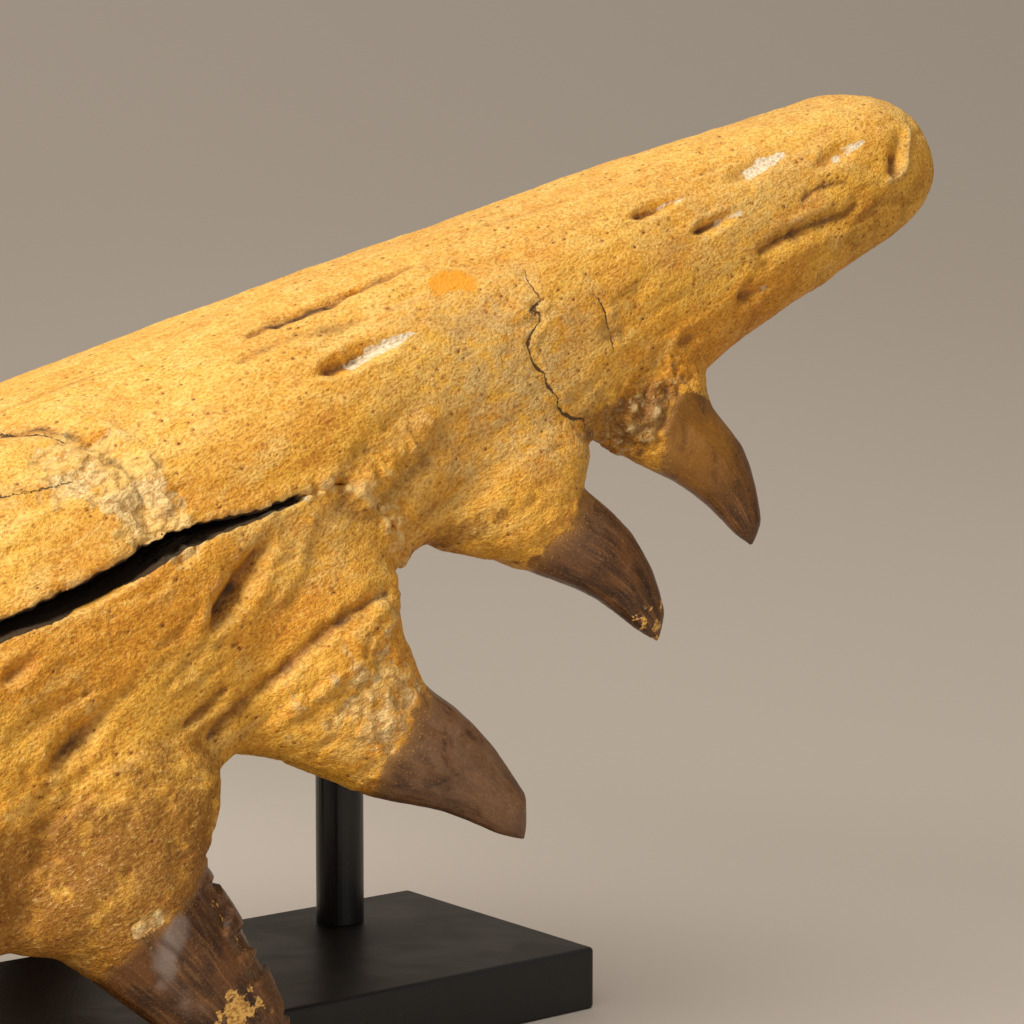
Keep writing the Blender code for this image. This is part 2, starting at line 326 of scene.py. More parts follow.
class Tooth:
    """Centre line of a root and crown in the side view, and where the enamel starts."""

    def __init__(self, number, row_a, neck, line, tip, border, reach, thick):
        self.number, self.row_a, self.neck = number, row_a, np.array(neck, float)
        self.line, self.tip = [np.array(p, float) for p in line], np.array(tip, float)
        self.border, self.reach, self.thick = border, reach, thick
        self.row = float(np.interp(row_a, *zip(*ROW_HALF)))

    def path(self, side, keep):
        pts = [self.neck] + [p + (p - self.neck) * 0 + (keep - 1) * (p - self.neck) for p in self.line]
        pts.append(self.tip + (keep - 1) * (self.tip - self.neck))
        out = []
        for p in pts:
            lean = max(0.0, self.neck[1] - p[1]) * SPLAY
            out.append((p[0], side * (self.row + lean), p[1]))
        return out


TEETH = (
    Tooth(1, 200, (201.1, 59.5), ((207.7, 47.3), (209.8, 37.5), (210.0, 28.7)), (208.6, 22.8),
          ((209, 70), (201.3, 66.8), (198.3, 64.2), (195.3, 61.1), (195.0, 57.2), (193.5, 51.5)), 10.5, 8.5),
    Tooth(2, 150, (152.5, 60.4), ((156.8, 55.7), (164.2, 45.0), (168.4, 35.4), (170.5, 24.8)), (170.0, 17.8),
          ((176, 63.5), (163.3, 58.9), (157.3, 55.6), (151.5, 54.6), (147.8, 51.0), (145.0, 47.0)), 12.5, 10.0),
    Tooth(3, 90, (88.9, 53.0), ((91.7, 45.2), (94.9, 37.2), (101.1, 28.6), (108.1, 18.5), (113.5, 6.5)), (114.0, -1.6),
          ((112, 44.5), (106.8, 42.1), (100.6, 41.3), (96.9, 38.6), (92.4, 35.9), (88.7, 32.6), (84.0, 27.0)), 15.5, 13.5),
    Tooth(4, 27, (27.2, 38.7), ((27.0, 33.0), (29.6, 23.5), (32.2, 12.2), (35.2, 1.0), (38.1, -6.8)), (40.8, -12.6),
          ((50, 40.5), (42.3, 38.0), (36.1, 35.2), (30.0, 33.8), (21.8, 33.2), (16.1, 30.5), (9.0, 25.5)), 17.5, 14.5),
)
KEEP = {-1: (1.0, 1.0, 1.0, 1.0), 1: (0.18, 0.5, 0.96, 0.94)}

# openings of the snout's small vessels: dark end, pale end, half width, depth, dark (painted shadow and stain in the
# deepest part), white
FORAMINA = (
    ((118.0, -39.3, 114.8), (142.4, -36.1, 112.8), 2.1, 2.7, 0.62, 1.0),
    ((213.5, -24.4, 110.7), (229.8, -23.5, 108.9), 1.4, 2.0, 0.60, 0.45),
    ((226.5, -27.5, 101.0), (241.8, -26.2, 99.6), 1.5, 2.1, 0.62, 0.55),
    ((245.0, -22.4, 107.4), (262.5, -20.4, 106.9), 2.5, 1.1, 0.10, 1.0),
    ((270.0, -22.9, 100.2), (286.0, -21.4, 100.1), 2.0, 1.0, 0.05, 0.7),
    ((258.5, -21.9, 73.9), (270.0, -19.0, 72.4), 2.5, 0.7, 0.35, 0.0),
    ((231.0, -27.3, 80.8), (242.0, -26.0, 79.6), 2.0, 1.5, 0.50, 0.45),
    ((209.5, -29.5, 78.7), (220.0, -28.4, 78.5), 1.7, 1.3, 0.45, 0.35),
    ((244.2, -13.4, 115.5), (246.4, -13.9, 115.1), 0.8, 1.0, 0.9, 0.0),
    ((68.0, -54.0, 80.6), (90.0, -50.8, 91.2), 3.0, 3.5, 0.58, 0.1),
    ((22.0, -60.9, 72.9), (43.0, -58.3, 78.2), 2.8, 2.7, 0.50, 0.25),
    ((21.5, -61.2, 93.0), (31.0, -59.9, 94.2), 1.6, 0.9, 0.25, 0.35),
)
# long shallow furrows: points, half width, depth
FURROWS = (
    (((111.0, -26.2, 127.6), (118.0, -25.4, 127.1), (124.5, -25.1, 126.4), (131.1, -24.7, 125.6), (140.0, -23.3, 125.0)),
     1.9, 2.7),
    (((136.0, -24.0, 125.3), (146.0, -22.8, 124.6), (157.0, -21.4, 124.0)), 1.2, 1.2),
    (((70.0, -54.0, 81.2), (62.0, -55.5, 77.0), (52.0, -57.0, 74.5)), 1.7, 0.6),
    (((85.5, -51.2, 89.0), (96.0, -49.5, 91.0)), 2.0, 0.5),
    (((71.0, -54.0, 82.4), (84.0, -51.5, 89.2)), 2.2, 1.1),
    (((56.6, -25.3, 133.9), (64.3, -28.4, 131.9), (68.2, -35.4, 127.4), (71.7, -42.8, 120.6), (72.6, -47.3, 114.4),
      (71.4, -50.1, 108.6), (66.9, -53.1, 102.6)), 1.5, -1.4),
    (((48.0, -29.0, 132.2), (58.0, -31.8, 130.2), (63.0, -38.4, 124.9), (66.6, -44.4, 119.0), (66.8, -48.3, 113.4),
      (65.4, -51.6, 107.0), (60.6, -54.2, 101.6)), 2.3, 1.7),
    (((38.0, -50.0, 116.0), (48.0, -48.0, 117.5), (58.0, -47.5, 115.0), (64.0, -49.3, 108.0)), 1.8, -0.9),
    (((242.6, -27.1, 88.5), (248.4, -26.6, 88.9), (252.5, -26.3, 88.7), (257.3, -25.9, 88.3), (264.4, -25.3, 87.4),
      (271.1, -24.6, 86.1), (275.4, -24.3, 87.0)), 2.1, 1.8),
    (((260.1, -25.5, 94.7), (263.8, -25.0, 95.5), (266.8, -24.7, 95.6), (270.6, -24.6, 94.8), (275.0, -24.3, 93.5)),
     1.3, 1.3),
    (((244.4, -26.8, 84.3), (255.0, -25.9, 84.0), (264.8, -25.0, 82.6), (271.4, -24.2, 81.4)), 1.9, -1.0),
    (((250.0, -26.4, 92.4), (262.0, -25.4, 91.6), (274.0, -24.5, 90.2)), 1.8, -0.8),
    (((275.2, -24.4, 91.2), (279.7, -24.1, 90.1), (282.5, -23.9, 89.7), (285.8, -23.6, 88.9)), 0.6, 0.7),
    (((234.0, -21.7, 110.8), (246.0, -22.2, 107.6)), 0.7, 0.5),
    (((275.0, -23.9, 83.6), (285.0, -23.2, 83.6), (297.0, -19.0, 80.5)), 3.2, 0.8),
    (((98.3, -48.7, 89.2), (92.2, -49.7, 82.7), (84.0, -50.9, 77.4)), 2.2, -1.0),
    (((77.0, -53.0, 91.5), (62.8, -55.5, 89.6), (47.1, -58.0, 88.5), (32.9, -60.0, 89.5)), 3.2, 0.35),
    (((94.0, -49.1, 77.3), (80.0, -51.4, 73.7)), 2.0, 0.3),
    (((53.0, -55.5, 65.3), (59.3, -54.5, 65.9), (63.8, -53.8, 66.9)), 1.6, 1.2),
    (((4.0, -62.0, 84.0), (22.0, -61.0, 82.0), (44.0, -58.5, 83.0)), 2.6, 0.6),
    (((14.9, -61.6, 62.9), (24.6, -61.9, 64.3), (36.4, -62.4, 59.9), (49.3, -59.3, 54.2)), 2.8, 0.9),
    (((63.2, -50.1, 54.4), (70.0, -52.0, 56.0), (78.1, -53.2, 58.0)), 1.5, 1.2),
    (((74.5, -52.4, 53.4), (84.7, -54.5, 55.4), (94.0, -54.0, 57.0)), 1.6, -1.1),
    (((43.0, -58.3, 77.6), (56.0, -56.0, 80.0), (66.0, -54.0, 86.0)), 1.8, 0.5),
    (((229.8, -23.5, 108.9), (243.0, -22.0, 107.5)), 1.3, 0.4),
    (((104.0, -33.0, 124.2), (118.0, -30.6, 122.8), (128.0, -31.9, 120.8), (136.0, -31.6, 119.8)), 2.0, 0.8),
    (((20.0, -22.0, 139.0), (44.0, -20.5, 137.0), (66.0, -18.5, 135.3), (92.0, -19.0, 131.5)), 1.6, 0.7),
    (((160.0, -24.0, 120.6), (172.0, -26.0, 117.6), (181.0, -27.9, 114.6)), 1.2, 0.6),
    (((168.0, -19.0, 123.4), (176.0, -15.4, 123.9), (186.0, -15.3, 122.6), (204.0, -15.0, 120.4)), 1.3, 0.6),
    (((196.0, -24.0, 114.6), (214.0, -22.0, 113.4), (232.0, -19.0, 112.4)), 1.8, 0.45),
)
# open breaks through the outer bone: points in the side view
CRACKS = (
    ((178.9, -29.0, 112.8), (177.7, -30.9, 110.2), (177.7, -32.3, 107.4), (177.8, -33.3, 105.1),
     (174.2, -34.1, 104.2), (175.9, -34.3, 102.4), (174.8, -34.9, 100.8), (171.2, -35.7, 99.7),
     (168.9, -36.2, 97.9), (168.3, -36.5, 94.6), (168.7, -36.5, 92.2), (170.2, -36.1, 89.9),
     (169.7, -36.1, 87.1), (171.1, -35.6, 83.0), (170.2, -35.4, 80.9), (171.3, -34.9, 78.8),
     (173.7, -34.0, 76.3), (176.3, -33.3, 75.2), (176.1, -32.4, 72.2)),
    ((190.6, -31.8, 101.8), (192.4, -32.6, 98.6), (192.7, -32.7, 96.2), (192.1, -33.0, 92.8),
     (192.1, -33.0, 90.0), (191.4, -32.9, 87.1), (190.7, -33.0, 85.7)),
    ((44.0, -26.5, 135.5), (52.2, -30.5, 132.2), (57.5, -34.5, 129.0), (60.0, -38.0, 126.5)),
    ((30.0, -44.5, 124.6), (40.7, -44.5, 123.6), (49.0, -45.5, 121.5), (56.1, -45.6, 119.8)),
)
CRACK_WIDE = (0.55, 0.28, 0.4, 0.35)


def mirrored(features, seed):
    """The same kind of marks on the other side, in places of their own."""
    rng = np.random.RandomState(seed)
    out = []
    for f in features:
        shift = np.array((rng.uniform(-9, 9), 0, rng.uniform(-3, 3)))
        flip = np.array((1, -1, 1))
        scale = rng.uniform(0.8, 1.15)
        if isinstance(f[0][0], tuple):
            pts = tuple(tuple(np.array(p) * flip + shift) for p in f[0])
            out.append((pts,) + tuple(f[1:]))
        else:
            a, b = np.array(f[0]) * flip + shift, np.array(f[1]) * flip + shift
            b = a + (b - a) * scale
            out.append((tuple(a), tuple(b), f[2] * scale, f[3]) + tuple(f[4:]))
    return tuple(out)


def around(p, points, reach):
    """Indices of the vertices within reach of a feature's own box."""
    q = np.array(points, float)
    lo, hi = q.min(0) - reach, q.max(0) + reach
    return np.nonzero(((p > lo) & (p < hi)).all(1))[0]


# upper edge of the open suture between the jaw bone and the snout bone
LIP_TOP = ((-40, 108.0), (0, 105.2), (27, 103.3), (50, 101.8), (64, 101.4), (74, 100.3), (89, 96.2), (101, 94.6),
           (109, 92.8), (113.8, 87.6), (117.8, 76.4), (117.4, 66))


def patch(p, centre, radii, rough=0.3, seed=0, soft=0.35, wave=6.0):
    """1 inside an uneven oval patch, 0 outside."""
    q = np.sqrt((((p - centre) / radii) ** 2).sum(1)) + rough * fbm(p / wave, 3, seed=seed)
    return step(1.0 + soft, 1.0 - soft, q)


def sculpt(p, n, net, seed, wall_depth):
    """Height to add along the normal (mm), and the masks that colour it."""
    count = len(p)
    m = {k: np.zeros(count) for k in ("enamel", "tooth", "painted_hollow_shade", "stain_and_shade", "pale", "white", "crumb",
                                      "orange", "crack", "crackm", "fresh", "amber", "gold", "haze", "painted_highlight", "purple")}
    m["enamel"] -= 12.0
    m["crack"] += 5.0
    h = np.zeros(count)
    ec = np.zeros((count, 3))
    a, t, b = p[:, 0], p[:, 1], p[:, 2]
    ab = p[:, (0, 2)]
    near = t < 0

    # ---- teeth
    crown = np.zeros(count)
    root = np.zeros(count)
    nearest = np.full(count, 1e9)
    for tooth in TEETH:
        for side in (-1, 1):
            keep = KEEP[side][tooth.number - 1]
            here = (np.sign(t) == side)
            path = tooth.path(side, keep)
            dist, place, run = to_path(p, path)
            mine = here & (dist < nearest) & (dist < tooth.reach * 1.5)
            nearest = np.where(mine, dist, nearest)
            edge = signed_side(ab, tooth.border)
            edge = edge + 1.5 * fbm(p / 5.0, 2, seed=tooth.number + 3 * (side > 0))
            if side > 0 and tooth.number == 1:
                edge = edge - 4.0
            inside = mine & (dist < tooth.reach + 2)
            m["enamel"] = np.where(inside, edge * (2.2 if tooth.number == 4 else 1.0), m["enamel"])
            m["tooth"] = np.where(inside, tooth.number * (1 if side < 0 else -1), m["tooth"])
            # place along and around the crown, for its fine ridges
            line = np.array(path)
            stations = np.concatenate(((0.0,), np.cumsum(np.linalg.norm(np.diff(line, axis=0), axis=1))))
            centre = np.stack([np.interp(place, stations, line[:, k]) for k in range(3)], 1)
            ahead = np.stack([np.interp(np.minimum(place + 1.5, run), stations, line[:, k])
                              - np.interp(np.maximum(place - 1.5, 0), stations, line[:, k])
                              for k in range(3)], 1)
            ahead /= np.maximum(np.linalg.norm(ahead, axis=1), 1e-6)[:, None]
            rel = p - centre
            lateral = np.array((0.0, float(side), 0.0))
            fore = np.cross(lateral, ahead) * side
            fore /= np.maximum(np.linalg.norm(fore, axis=1), 1e-6)[:, None]
            x, y = (rel * fore).sum(1), rel @ lateral
            rad = np.maximum(np.hypot(x, y), 1e-6)
            ring = np.stack((place, x / rad * 8.0, y / rad * 8.0), 1)
            ec = np.where(inside[:, None], ring, ec)
            c = inside * step(-1.0, 1.5, edge)
            crown = np.maximum(crown, c)
            # root: within reach but above the enamel
            top = signed_side(ab, [(q[0], q[1] + (17 if tooth.number > 2 else 11)) for q in tooth.border])
            r = inside * step(-3, 2, top) * (1 - c)
            root = np.maximum(root, r)
            if tooth.number == 1:
                m["amber"] = np.where(inside, 0.05 + 0.95 * step(29, 8, place), m["amber"])
            if tooth.number == 3:
                m["haze"] = np.where(inside, 0.75, m["haze"])
            if tooth.number == 4:
                m["haze"] = np.where(inside, 0.0, m["haze"])
                m["crumb"] = np.maximum(m["crumb"], inside * c * patch(p, (T4_SPOT[0], side * T4_SPOT[1], T4_SPOT[2]),
                                                                       (4.0, 9.0, 3.6), 1.3, seed=71, wave=2.2))
                # flaked front edge
                front = step(0.62, 0.86, -x / rad)
                run_ = np.stack((place / 5.5, x / rad, y / rad * 0.6), 1)
                flake = front * step(0.02, 0.12, gradient_noise(run_, 4 + side)) * step(44, 40, b) * inside
                h -= 1.25 * flake * c
                h += 0.35 * front * c * inside * step(44, 40, b)
                # painted highlight: a pale grey streak painted down the fourth crown where the key light's reflection
                # falls
                dist4 = to_path(p, ((30.4, side * 66.0, 31.5), (25.5, side * 66.5, 26.5), (22.6, side * 66.8, 21.7),
                                    (24.0, side * 67.0, 14.0), (29.0, side * 67.0, 4.0)))[0]
                m["painted_highlight"] = np.where(inside, c * step(4.2, 1.0, dist4 + 2.6 * fbm(p / 5.0, 2, seed=75)), m["painted_highlight"])
                zone = inside * (1 - c) * step(-14, -2, edge)
                m["stain_and_shade"] = np.maximum(m["stain_and_shade"], 0.75 * zone * step(-0.05, 0.30, fbm(p / 4.6, 2, seed=74)))
                m["crumb"] = np.maximum(m["crumb"], 0.40 * flake * step(0.0, 0.4, gradient_noise(p / 4.0, 72)))
            if tooth.number == 2:
                m["haze"] = np.where(inside, 0.40 * step(26, 10, place), m["haze"])
                m["gold"] = np.where(inside & (c < 0.5), 0.8, m["gold"])
                m["crumb"] = np.maximum(m["crumb"], inside * c * step(15, 7, np.abs(place - run)) * 0.75
                                        * step(0.05, 0.30, gradient_noise(p / 2.1, 5)))
                zone = inside * (1 - c) * step(-12, -3, edge)
                m["stain_and_shade"] = np.maximum(m["stain_and_shade"], 0.75 * zone * step(-0.15, 0.25, fbm(p / 3.0, 2, seed=73)))
    body = 1 - crown

    # ---- the bone's own unevenness
    big = fbm(p / np.array((60.0, 34.0, 34.0)), 2, seed=seed)
    mid = fbm(p / np.array((17.0, 8.5, 8.5)), 3, seed=seed + 1)
    fibre = fbm(p / np.array((12.0, 2.6, 2.6)), 2, seed=seed + 2)
    fine = fbm(p / np.array((3.0, 2.0, 2.0)), 2, seed=seed + 3)
    h += body * (0.80 * big + 0.50 * mid + 0.16 * fibre + 0.10 * fine)
    h += crown * 0.06 * mid
    # long weathered furrows
    fur = fbm(p / np.array((34.0, 4.2, 4.2)), 2, seed=seed + 4)
    h -= body * 0.45 * step(0.22, 0.60, fur)
    m["stain_and_shade"] += 0.22 * body * step(0.25, 0.6, fur)
    m["stain_and_shade"] += 0.34 * body * step(0.02, 0.40, -mid) * step(126, 112, b)
    # rows of tiny pits
    one, two = cells(p / np.array((5.2, 3.0, 3.0)), seed=seed)
    pit = step(0.30, 0.12, one) * step(0.0, 0.4, fbm(p / 14.0, 2, seed=seed + 5))
    h -= body * 0.32 * pit
    m["stain_and_shade"] += 0.35 * body * pit

    # ---- foramina and furrows
    def top_up(key, at, values):
        m[key][at] = np.maximum(m[key][at], values)

    for set_ in (FORAMINA, mirrored(FORAMINA, 4)):
        for dark_end, pale_end, wide, deep, dark, white in set_:
            at = around(p, (dark_end, pale_end), 3.2 * wide + 4)
            if not len(at):
                continue
            q = p[at]
            side, along, length = to_segment(q, dark_end, pale_end)
            u = along / length
            w = wide * (0.35 + 0.85 * step(-0.20, 0.22, u) * step(1.30, 0.40, u))
            w = w * (1 + 0.25 * gradient_noise(q / 2.4, 3))
            shape = np.exp(-(side / w) ** 2 * 1.6)
            fade = step(-0.14, 0.16, u) * step(1.15, 0.50, u)
            h[at] -= deep * shape * fade * (1.0 - 0.5 * step(0.3, 0.9, u))
            deepest = shape * step(-0.12, 0.10, u) * step(0.72, 0.36, u)
            # painted shadow: the deepest part of each opening is coloured near black and brown
            top_up("painted_hollow_shade", at, dark * step(0.55, 1.0, deepest))
            top_up("stain_and_shade", at, min(1.0, dark + 0.2) * step(0.15, 0.85, deepest))
            low_half = q[:, 2] < dark_end[2] + (pale_end[2] - dark_end[2]) * u + 0.25 * w
            top_up("white", at, white * step(0.30, 0.62, shape) * step(1.14, 0.96, u)
                   * np.maximum(step(0.46, 0.62, u), 0.85 * low_half * step(0.18, 0.34, u)))
            # soft rim
            h[at] += 0.28 * np.exp(-((side - 1.55 * w) / (0.55 * w)) ** 2) * step(-0.3, 0, u) * step(1.1, 0.6, u)
    for set_ in (FURROWS, mirrored(FURROWS, 8)):
        for pts, wide, deep in set_:
            at = around(p, pts, 3.5 * wide)
            if not len(at):
                continue
            q = p[at]
            dist, place, run = to_path(q, pts)
            u = place / run
            w = wide * (1 + 0.35 * gradient_noise(q / 3.3, 6)) * (0.55 + 0.6 * np.sin(np.pi * np.clip(u, 0, 1)))
            s = np.exp(-(dist / w) ** 2)
            h[at] -= deep * s * (0.6 + 0.5 * gradient_noise(q / 5.0, 16))
            # darker along each furrow, more where it is deeper; the deepest furrows also get near-black painted shade
            top_up("stain_and_shade", at, 0.8 * s * min(1.0, deep))
            if deep > 1.2:
                top_up("painted_hollow_shade", at, (0.58 if deep > 2.5 else 0.54) * step(0.58, 1.0, s) * step(0.0, 0.2, u) * step(1, 0.7, u))

    # ---- cracks: the bone steps and opens a little
    far = tuple(tuple((q[0] - 38, -q[1] + 4, q[2] + 3) for q in c) for c in CRACKS)
    for set_ in (CRACKS, far):
        for pts, wide in zip(set_, CRACK_WIDE):
            at = around(p, pts, 6.0)
            if not len(at):
                continue
            q = p[at]
            dist, place, run = to_path(q, pts)
            sd = signed_side(q[:, (0, 2)], [(c[0], c[2]) for c in pts], open_ends=False)
            u = place / run
            taper = step(-0.02, 0.12, u) * step(1.02, 0.90, u)
            closer = (dist < 4.5) & (dist < np.abs(m["crack"][at]) + 1e-3)
            m["crack"][at] = np.where(closer, np.clip(sd, -4, 4), m["crack"][at])
            width = taper * wide * (0.35 + 0.9 * np.clip(gradient_noise(q / 5.0, 9) + 0.35, 0, 1))
            m["crackm"][at] = np.where(closer, width, m["crackm"][at])
            h[at] -= 0.9 * width * np.exp(-(dist / 0.8) ** 2)
            h[at] += 0.16 * np.exp(-((dist - 1.9) / 1.0) ** 2) * taper * (sd > 0)
            top_up("pale", at, 0.45 * step(4.5, 1.0, dist))

    # ---- paler, greyer bone
    m["pale"] = np.maximum(m["pale"], 0.95 * patch(p, (161, -36, 90), (24, 12, 24), 0.7, seed=11, soft=0.5, wave=11))
    m["pale"] = np.maximum(m["pale"], 0.6 * patch(p, (138, -42, 92), (14, 10, 16), 0.7, seed=12, soft=0.5, wave=9))
    m["pale"] = np.maximum(m["pale"], 0.7 * patch(p, (118, 42, 95), (26, 12, 20), 0.7, seed=13, soft=0.5, wave=11))
    m["pale"] = np.maximum(m["pale"], 0.55 * patch(p, (240, -22, 98), (30, 12, 10), 0.9, seed=14, soft=0.5, wave=9))
    m["pale"] = np.maximum(m["pale"], 0.5 * patch(p, (98, -50, 84), (15, 10, 10), 0.9, seed=15, soft=0.5, wave=7))

    # ---- crumbled patches with pale sediment: flakes that end in small steps
    def crumble(centre, radii, deep, grit, seed_, colour=1.0, wave=5.0, rough=0.75):
        dh = np.zeros(count)
        k_all = np.zeros(count)
        at = around(p, (centre,), float(radii.max()) * 2.1)
        if len(at):
            q = p[at]
            k = patch(q, centre, radii, rough, seed=seed_, soft=0.30, wave=wave) * (1 - crown[at])
            f = fbm(q / (grit * 1.9), 3, 0.5, seed=seed_) * 3.2
            low_ = np.floor(f)
            plates = (low_ + step(0.25, 0.60, f - low_)) / 3.2
            dh[at] = k * (-0.35 * deep + 1.35 * deep * plates + 0.16 * deep * fbm(q / (grit * 0.5), 2, seed=seed_ + 1))
            k_all[at] = k
        return k_all, dh, colour * k_all

    for centre, radii, deep, grit, seed_, colour in (
            ((66, -45, 109), (9, 16, 15), 1.1, 3.0, 21, 0.80),
            ((56, -43, 122), (10, 14, 7), 0.9, 2.8, 22, 0.55),
            ((70, -50, 100), (7, 10, 6), 0.9, 2.2, 20, 0.60),
            ((190, -30, 68), (13, 11, 9), 1.7, 2.4, 23, 0.35),
            ((202, -27, 71), (9, 9, 8), 1.3, 2.0, 30, 0.30),
            ((94, -52, 46), (12, 12, 14), 1.2, 3.2, 24, 0.55),
            ((80, -54, 56), (10, 10, 8), 1.0, 3.4, 25, 0.30),
            ((104, -48, 62), (6, 8, 6), 0.8, 2.4, 29, 0.35),
            ((25, -66, 35), (4.4, 7, 2.6), 0.9, 2.6, 26, 0.95),
            ((12, -62, 60), (20, 10, 14), 0.7, 4.4, 27, 0.10),
            ((34, -60, 52), (12, 10, 10), 0.6, 3.6, 19, 0.12),
            ((150, -40, 62), (14, 10, 8), 0.6, 2.4, 28, 0.15),
            ((123, -44, 88), (9, 8, 10), 0.8, 2.2, 18, 0.10),
            ((118, -44, 76), (5, 8, 12), 0.7, 2.0, 17, 0.40),
            ((92, 50, 112), (12, 16, 16), 1.1, 3.2, 31, 0.8),
            ((190, 27, 66), (13, 10, 8), 1.0, 2.4, 32, 0.5),
            ((90, 52, 50), (12, 12, 12), 0.8, 3.2, 33, 0.6),
            ((30, 62, 45), (18, 12, 10), 0.8, 3.2, 34, 0.5),
            ((160, 34, 62), (12, 12, 8), 0.7, 2.6, 35, 0.4)):
        k, dh, col = crumble(np.array(centre, float), np.array(radii, float), deep, grit, seed_, colour)
        h += dh
        m["crumb"] = np.maximum(m["crumb"], col)
        m["stain_and_shade"] = np.maximum(m["stain_and_shade"] * (1 - 0.6 * k), 0.0)
    # step of the outer bone above the crumbled patch
    edge = signed_side(ab, ((20, 121), (40, 128), (56, 131), (70, 126)), open_ends=False)
    h += near * 0.6 * np.exp(-((edge + 1.5) / 2.2) ** 2) * step(18, 26, a) * step(72, 64, a)

    # T1 root: dark crumbly ring
    dark = patch(p, (193, -30, 68), (13, 12, 8), 0.5, seed=41, soft=0.3, wave=4)
    m["stain_and_shade"] = np.maximum(m["stain_and_shade"], 0.85 * dark * (1 - crown))
    dark = patch(p, (178, -33, 72), (8, 8, 5), 0.6, seed=42, soft=0.4, wave=4)
    m["stain_and_shade"] = np.maximum(m["stain_and_shade"], 0.7 * dark * (1 - crown))
    dark = patch(p, (193, -29, 68), (16, 12, 8), 1.1, seed=57, soft=0.4, wave=3.0)
    m["purple"] = np.maximum(m["purple"], 0.50 * dark * (1 - crown))
    # lower jaw edge and roots: warmer brown stain, and painted shade darkening the lower side
    m["stain_and_shade"] = np.maximum(m["stain_and_shade"], 0.5 * root * step(-0.1, 0.5, fbm(p / 9.0, 3, seed=43)))
    low = step(72, 40, a) * step(76, 56, b) * (np.abs(t) > 35) * (1 - crown)
    m["stain_and_shade"] = np.maximum(m["stain_and_shade"], low * (0.50 + 0.62 * step(-0.55, 0.25, fbm(p / np.array((8.0, 9.0, 10.0)), 3, seed=44))))
    # darker lower front and lower middle of the snout, partly stain and partly painted shade on the lower side
    low = step(250, 292, a) * step(92, 80, b) + step(140, 180, a) * step(88, 72, b)
    m["stain_and_shade"] = np.maximum(m["stain_and_shade"], 0.55 * np.minimum(low, 1) * (0.6 + 0.4 * step(-0.2, 0.4, fbm(p / 12.0, 2, seed=59))))
    m["gold"] = np.maximum(m["gold"], step(112, 60, b) * 0.45 * step(-0.3, 0.4, fbm(p / 17.0, 2, seed=45)))

    low = patch(p, (131, -41, 66.5), (14, 12, 3.0), 0.8, seed=76, soft=0.5, wave=3.4)
    m["stain_and_shade"] = np.maximum(m["stain_and_shade"], 0.80 * low * (1 - crown))
    # groove between the third root and the jaw wall
    for sgn in (-1, 1):
        dist, place, run = to_path(p, [(q[0], sgn * q[1], q[2]) for q in
                                       ((56, 53.5, 59.5), (60, 53.2, 60.4), (77.1, 51.5, 63.4), (88, 52.2, 66.2),
                                        (97.4, 52.7, 67.6), (109, 49.4, 66.4))])
        w = 1.5 * (1 + 0.45 * gradient_noise(p / 3.4, 46))
        g = np.exp(-(dist / w) ** 2)
        h -= 1.5 * g * step(-0.05, 0.1, place / run)
        u = place / run
        m["stain_and_shade"] = np.maximum(m["stain_and_shade"], 0.75 * np.exp(-(dist / (1.5 * w)) ** 2) * step(1.1, 0.7, u))
        m["purple"] = np.maximum(m["purple"], 0.85 * np.exp(-(dist / (0.8 * w)) ** 2) * step(-0.3, 0.3,
                                 gradient_noise(p / 7.0, 56)))
        # painted shade: patches of near black deep in the groove
        m["painted_hollow_shade"] = np.maximum(m["painted_hollow_shade"], 0.5 * step(0.85, 1.0, g) * step(0.1, 0.5, gradient_noise(p / 4.0, 56)))
        # root below it swells a little
        h += 0.5 * np.exp(-((dist - 6) / 4) ** 2) * (b < 64) * (np.abs(t) > 38)
        # furrow over the fourth root, less sharp
        dist, place, run = to_path(p, ((-6, sgn * 63, 62), (10, sgn * 64, 60), (28, sgn * 62, 57), (46, sgn * 58, 54)))
        h -= 0.5 * np.exp(-(dist / 3.0) ** 2)

    # raised bright ridge where the jaw bone's front end meets the snout
    for sgn in (-1, 1):
        dist, place, run = to_path(p, [(q[0], sgn * q[1], q[2]) for q in
                                       ((113.5, 45.6, 88.2), (120, 44.4, 90.0), (129, 42.4, 92.0), (142, 39.6, 94.4))])
        u = place / run
        k = np.exp(-(dist / (3.4 - 1.6 * u)) ** 2) * step(1.02, 0.75, u)
        # a hollow below the ridge, darkened with painted shade and stain
        h -= 0.55 * np.exp(-((dist - 6.0) / 2.6) ** 2) * step(1.0, 0.7, u)
        m["stain_and_shade"] = np.maximum(m["stain_and_shade"], 0.6 * np.exp(-((dist - 5.5) / 2.8) ** 2) * step(1.0, 0.6, u) * (b < 96))
        rough = fbm(p / 2.4, 2, seed=47)
        h += k * (1.0 + 1.3 * rough)
        m["gold"] = np.maximum(m["gold"], k)
        m["pale"] *= 1 - 0.8 * k

    # lips of the suture gap
    sd = signed_side(ab, LIP_TOP, open_ends=True)
    lip = np.exp(-(sd / 2.6) ** 2) * (np.abs(t) > 34)
    rough = fbm(p / 2.8, 3, seed=48)
    h += lip * (0.20 + 0.75 * rough) * step(108, 98, a) * step(-9, -2, a)
    h -= 0.4 * np.exp(-((sd - 5.5) / 3.0) ** 2) * (np.abs(t) > 34) * step(108, 98, a)
    # where the seam is shut, crumbs bridge it
    shut = np.exp(-(sd / 3.0) ** 2) * (np.abs(t) > 30) * step(98, 104, a) * (b > 64) * body
    h += shut * (1.0 + 1.5 * fbm(p / 2.4, 3, seed=58))
    m["gold"] = np.maximum(m["gold"], shut)
    m["crumb"] = np.maximum(m["crumb"], 0.42 * shut * step(0.1, 0.5, rough))
    m["crumb"] = np.maximum(m["crumb"], 0.75 * lip * step(0.10, 0.5, rough) * (a < 104) * (a > 50))
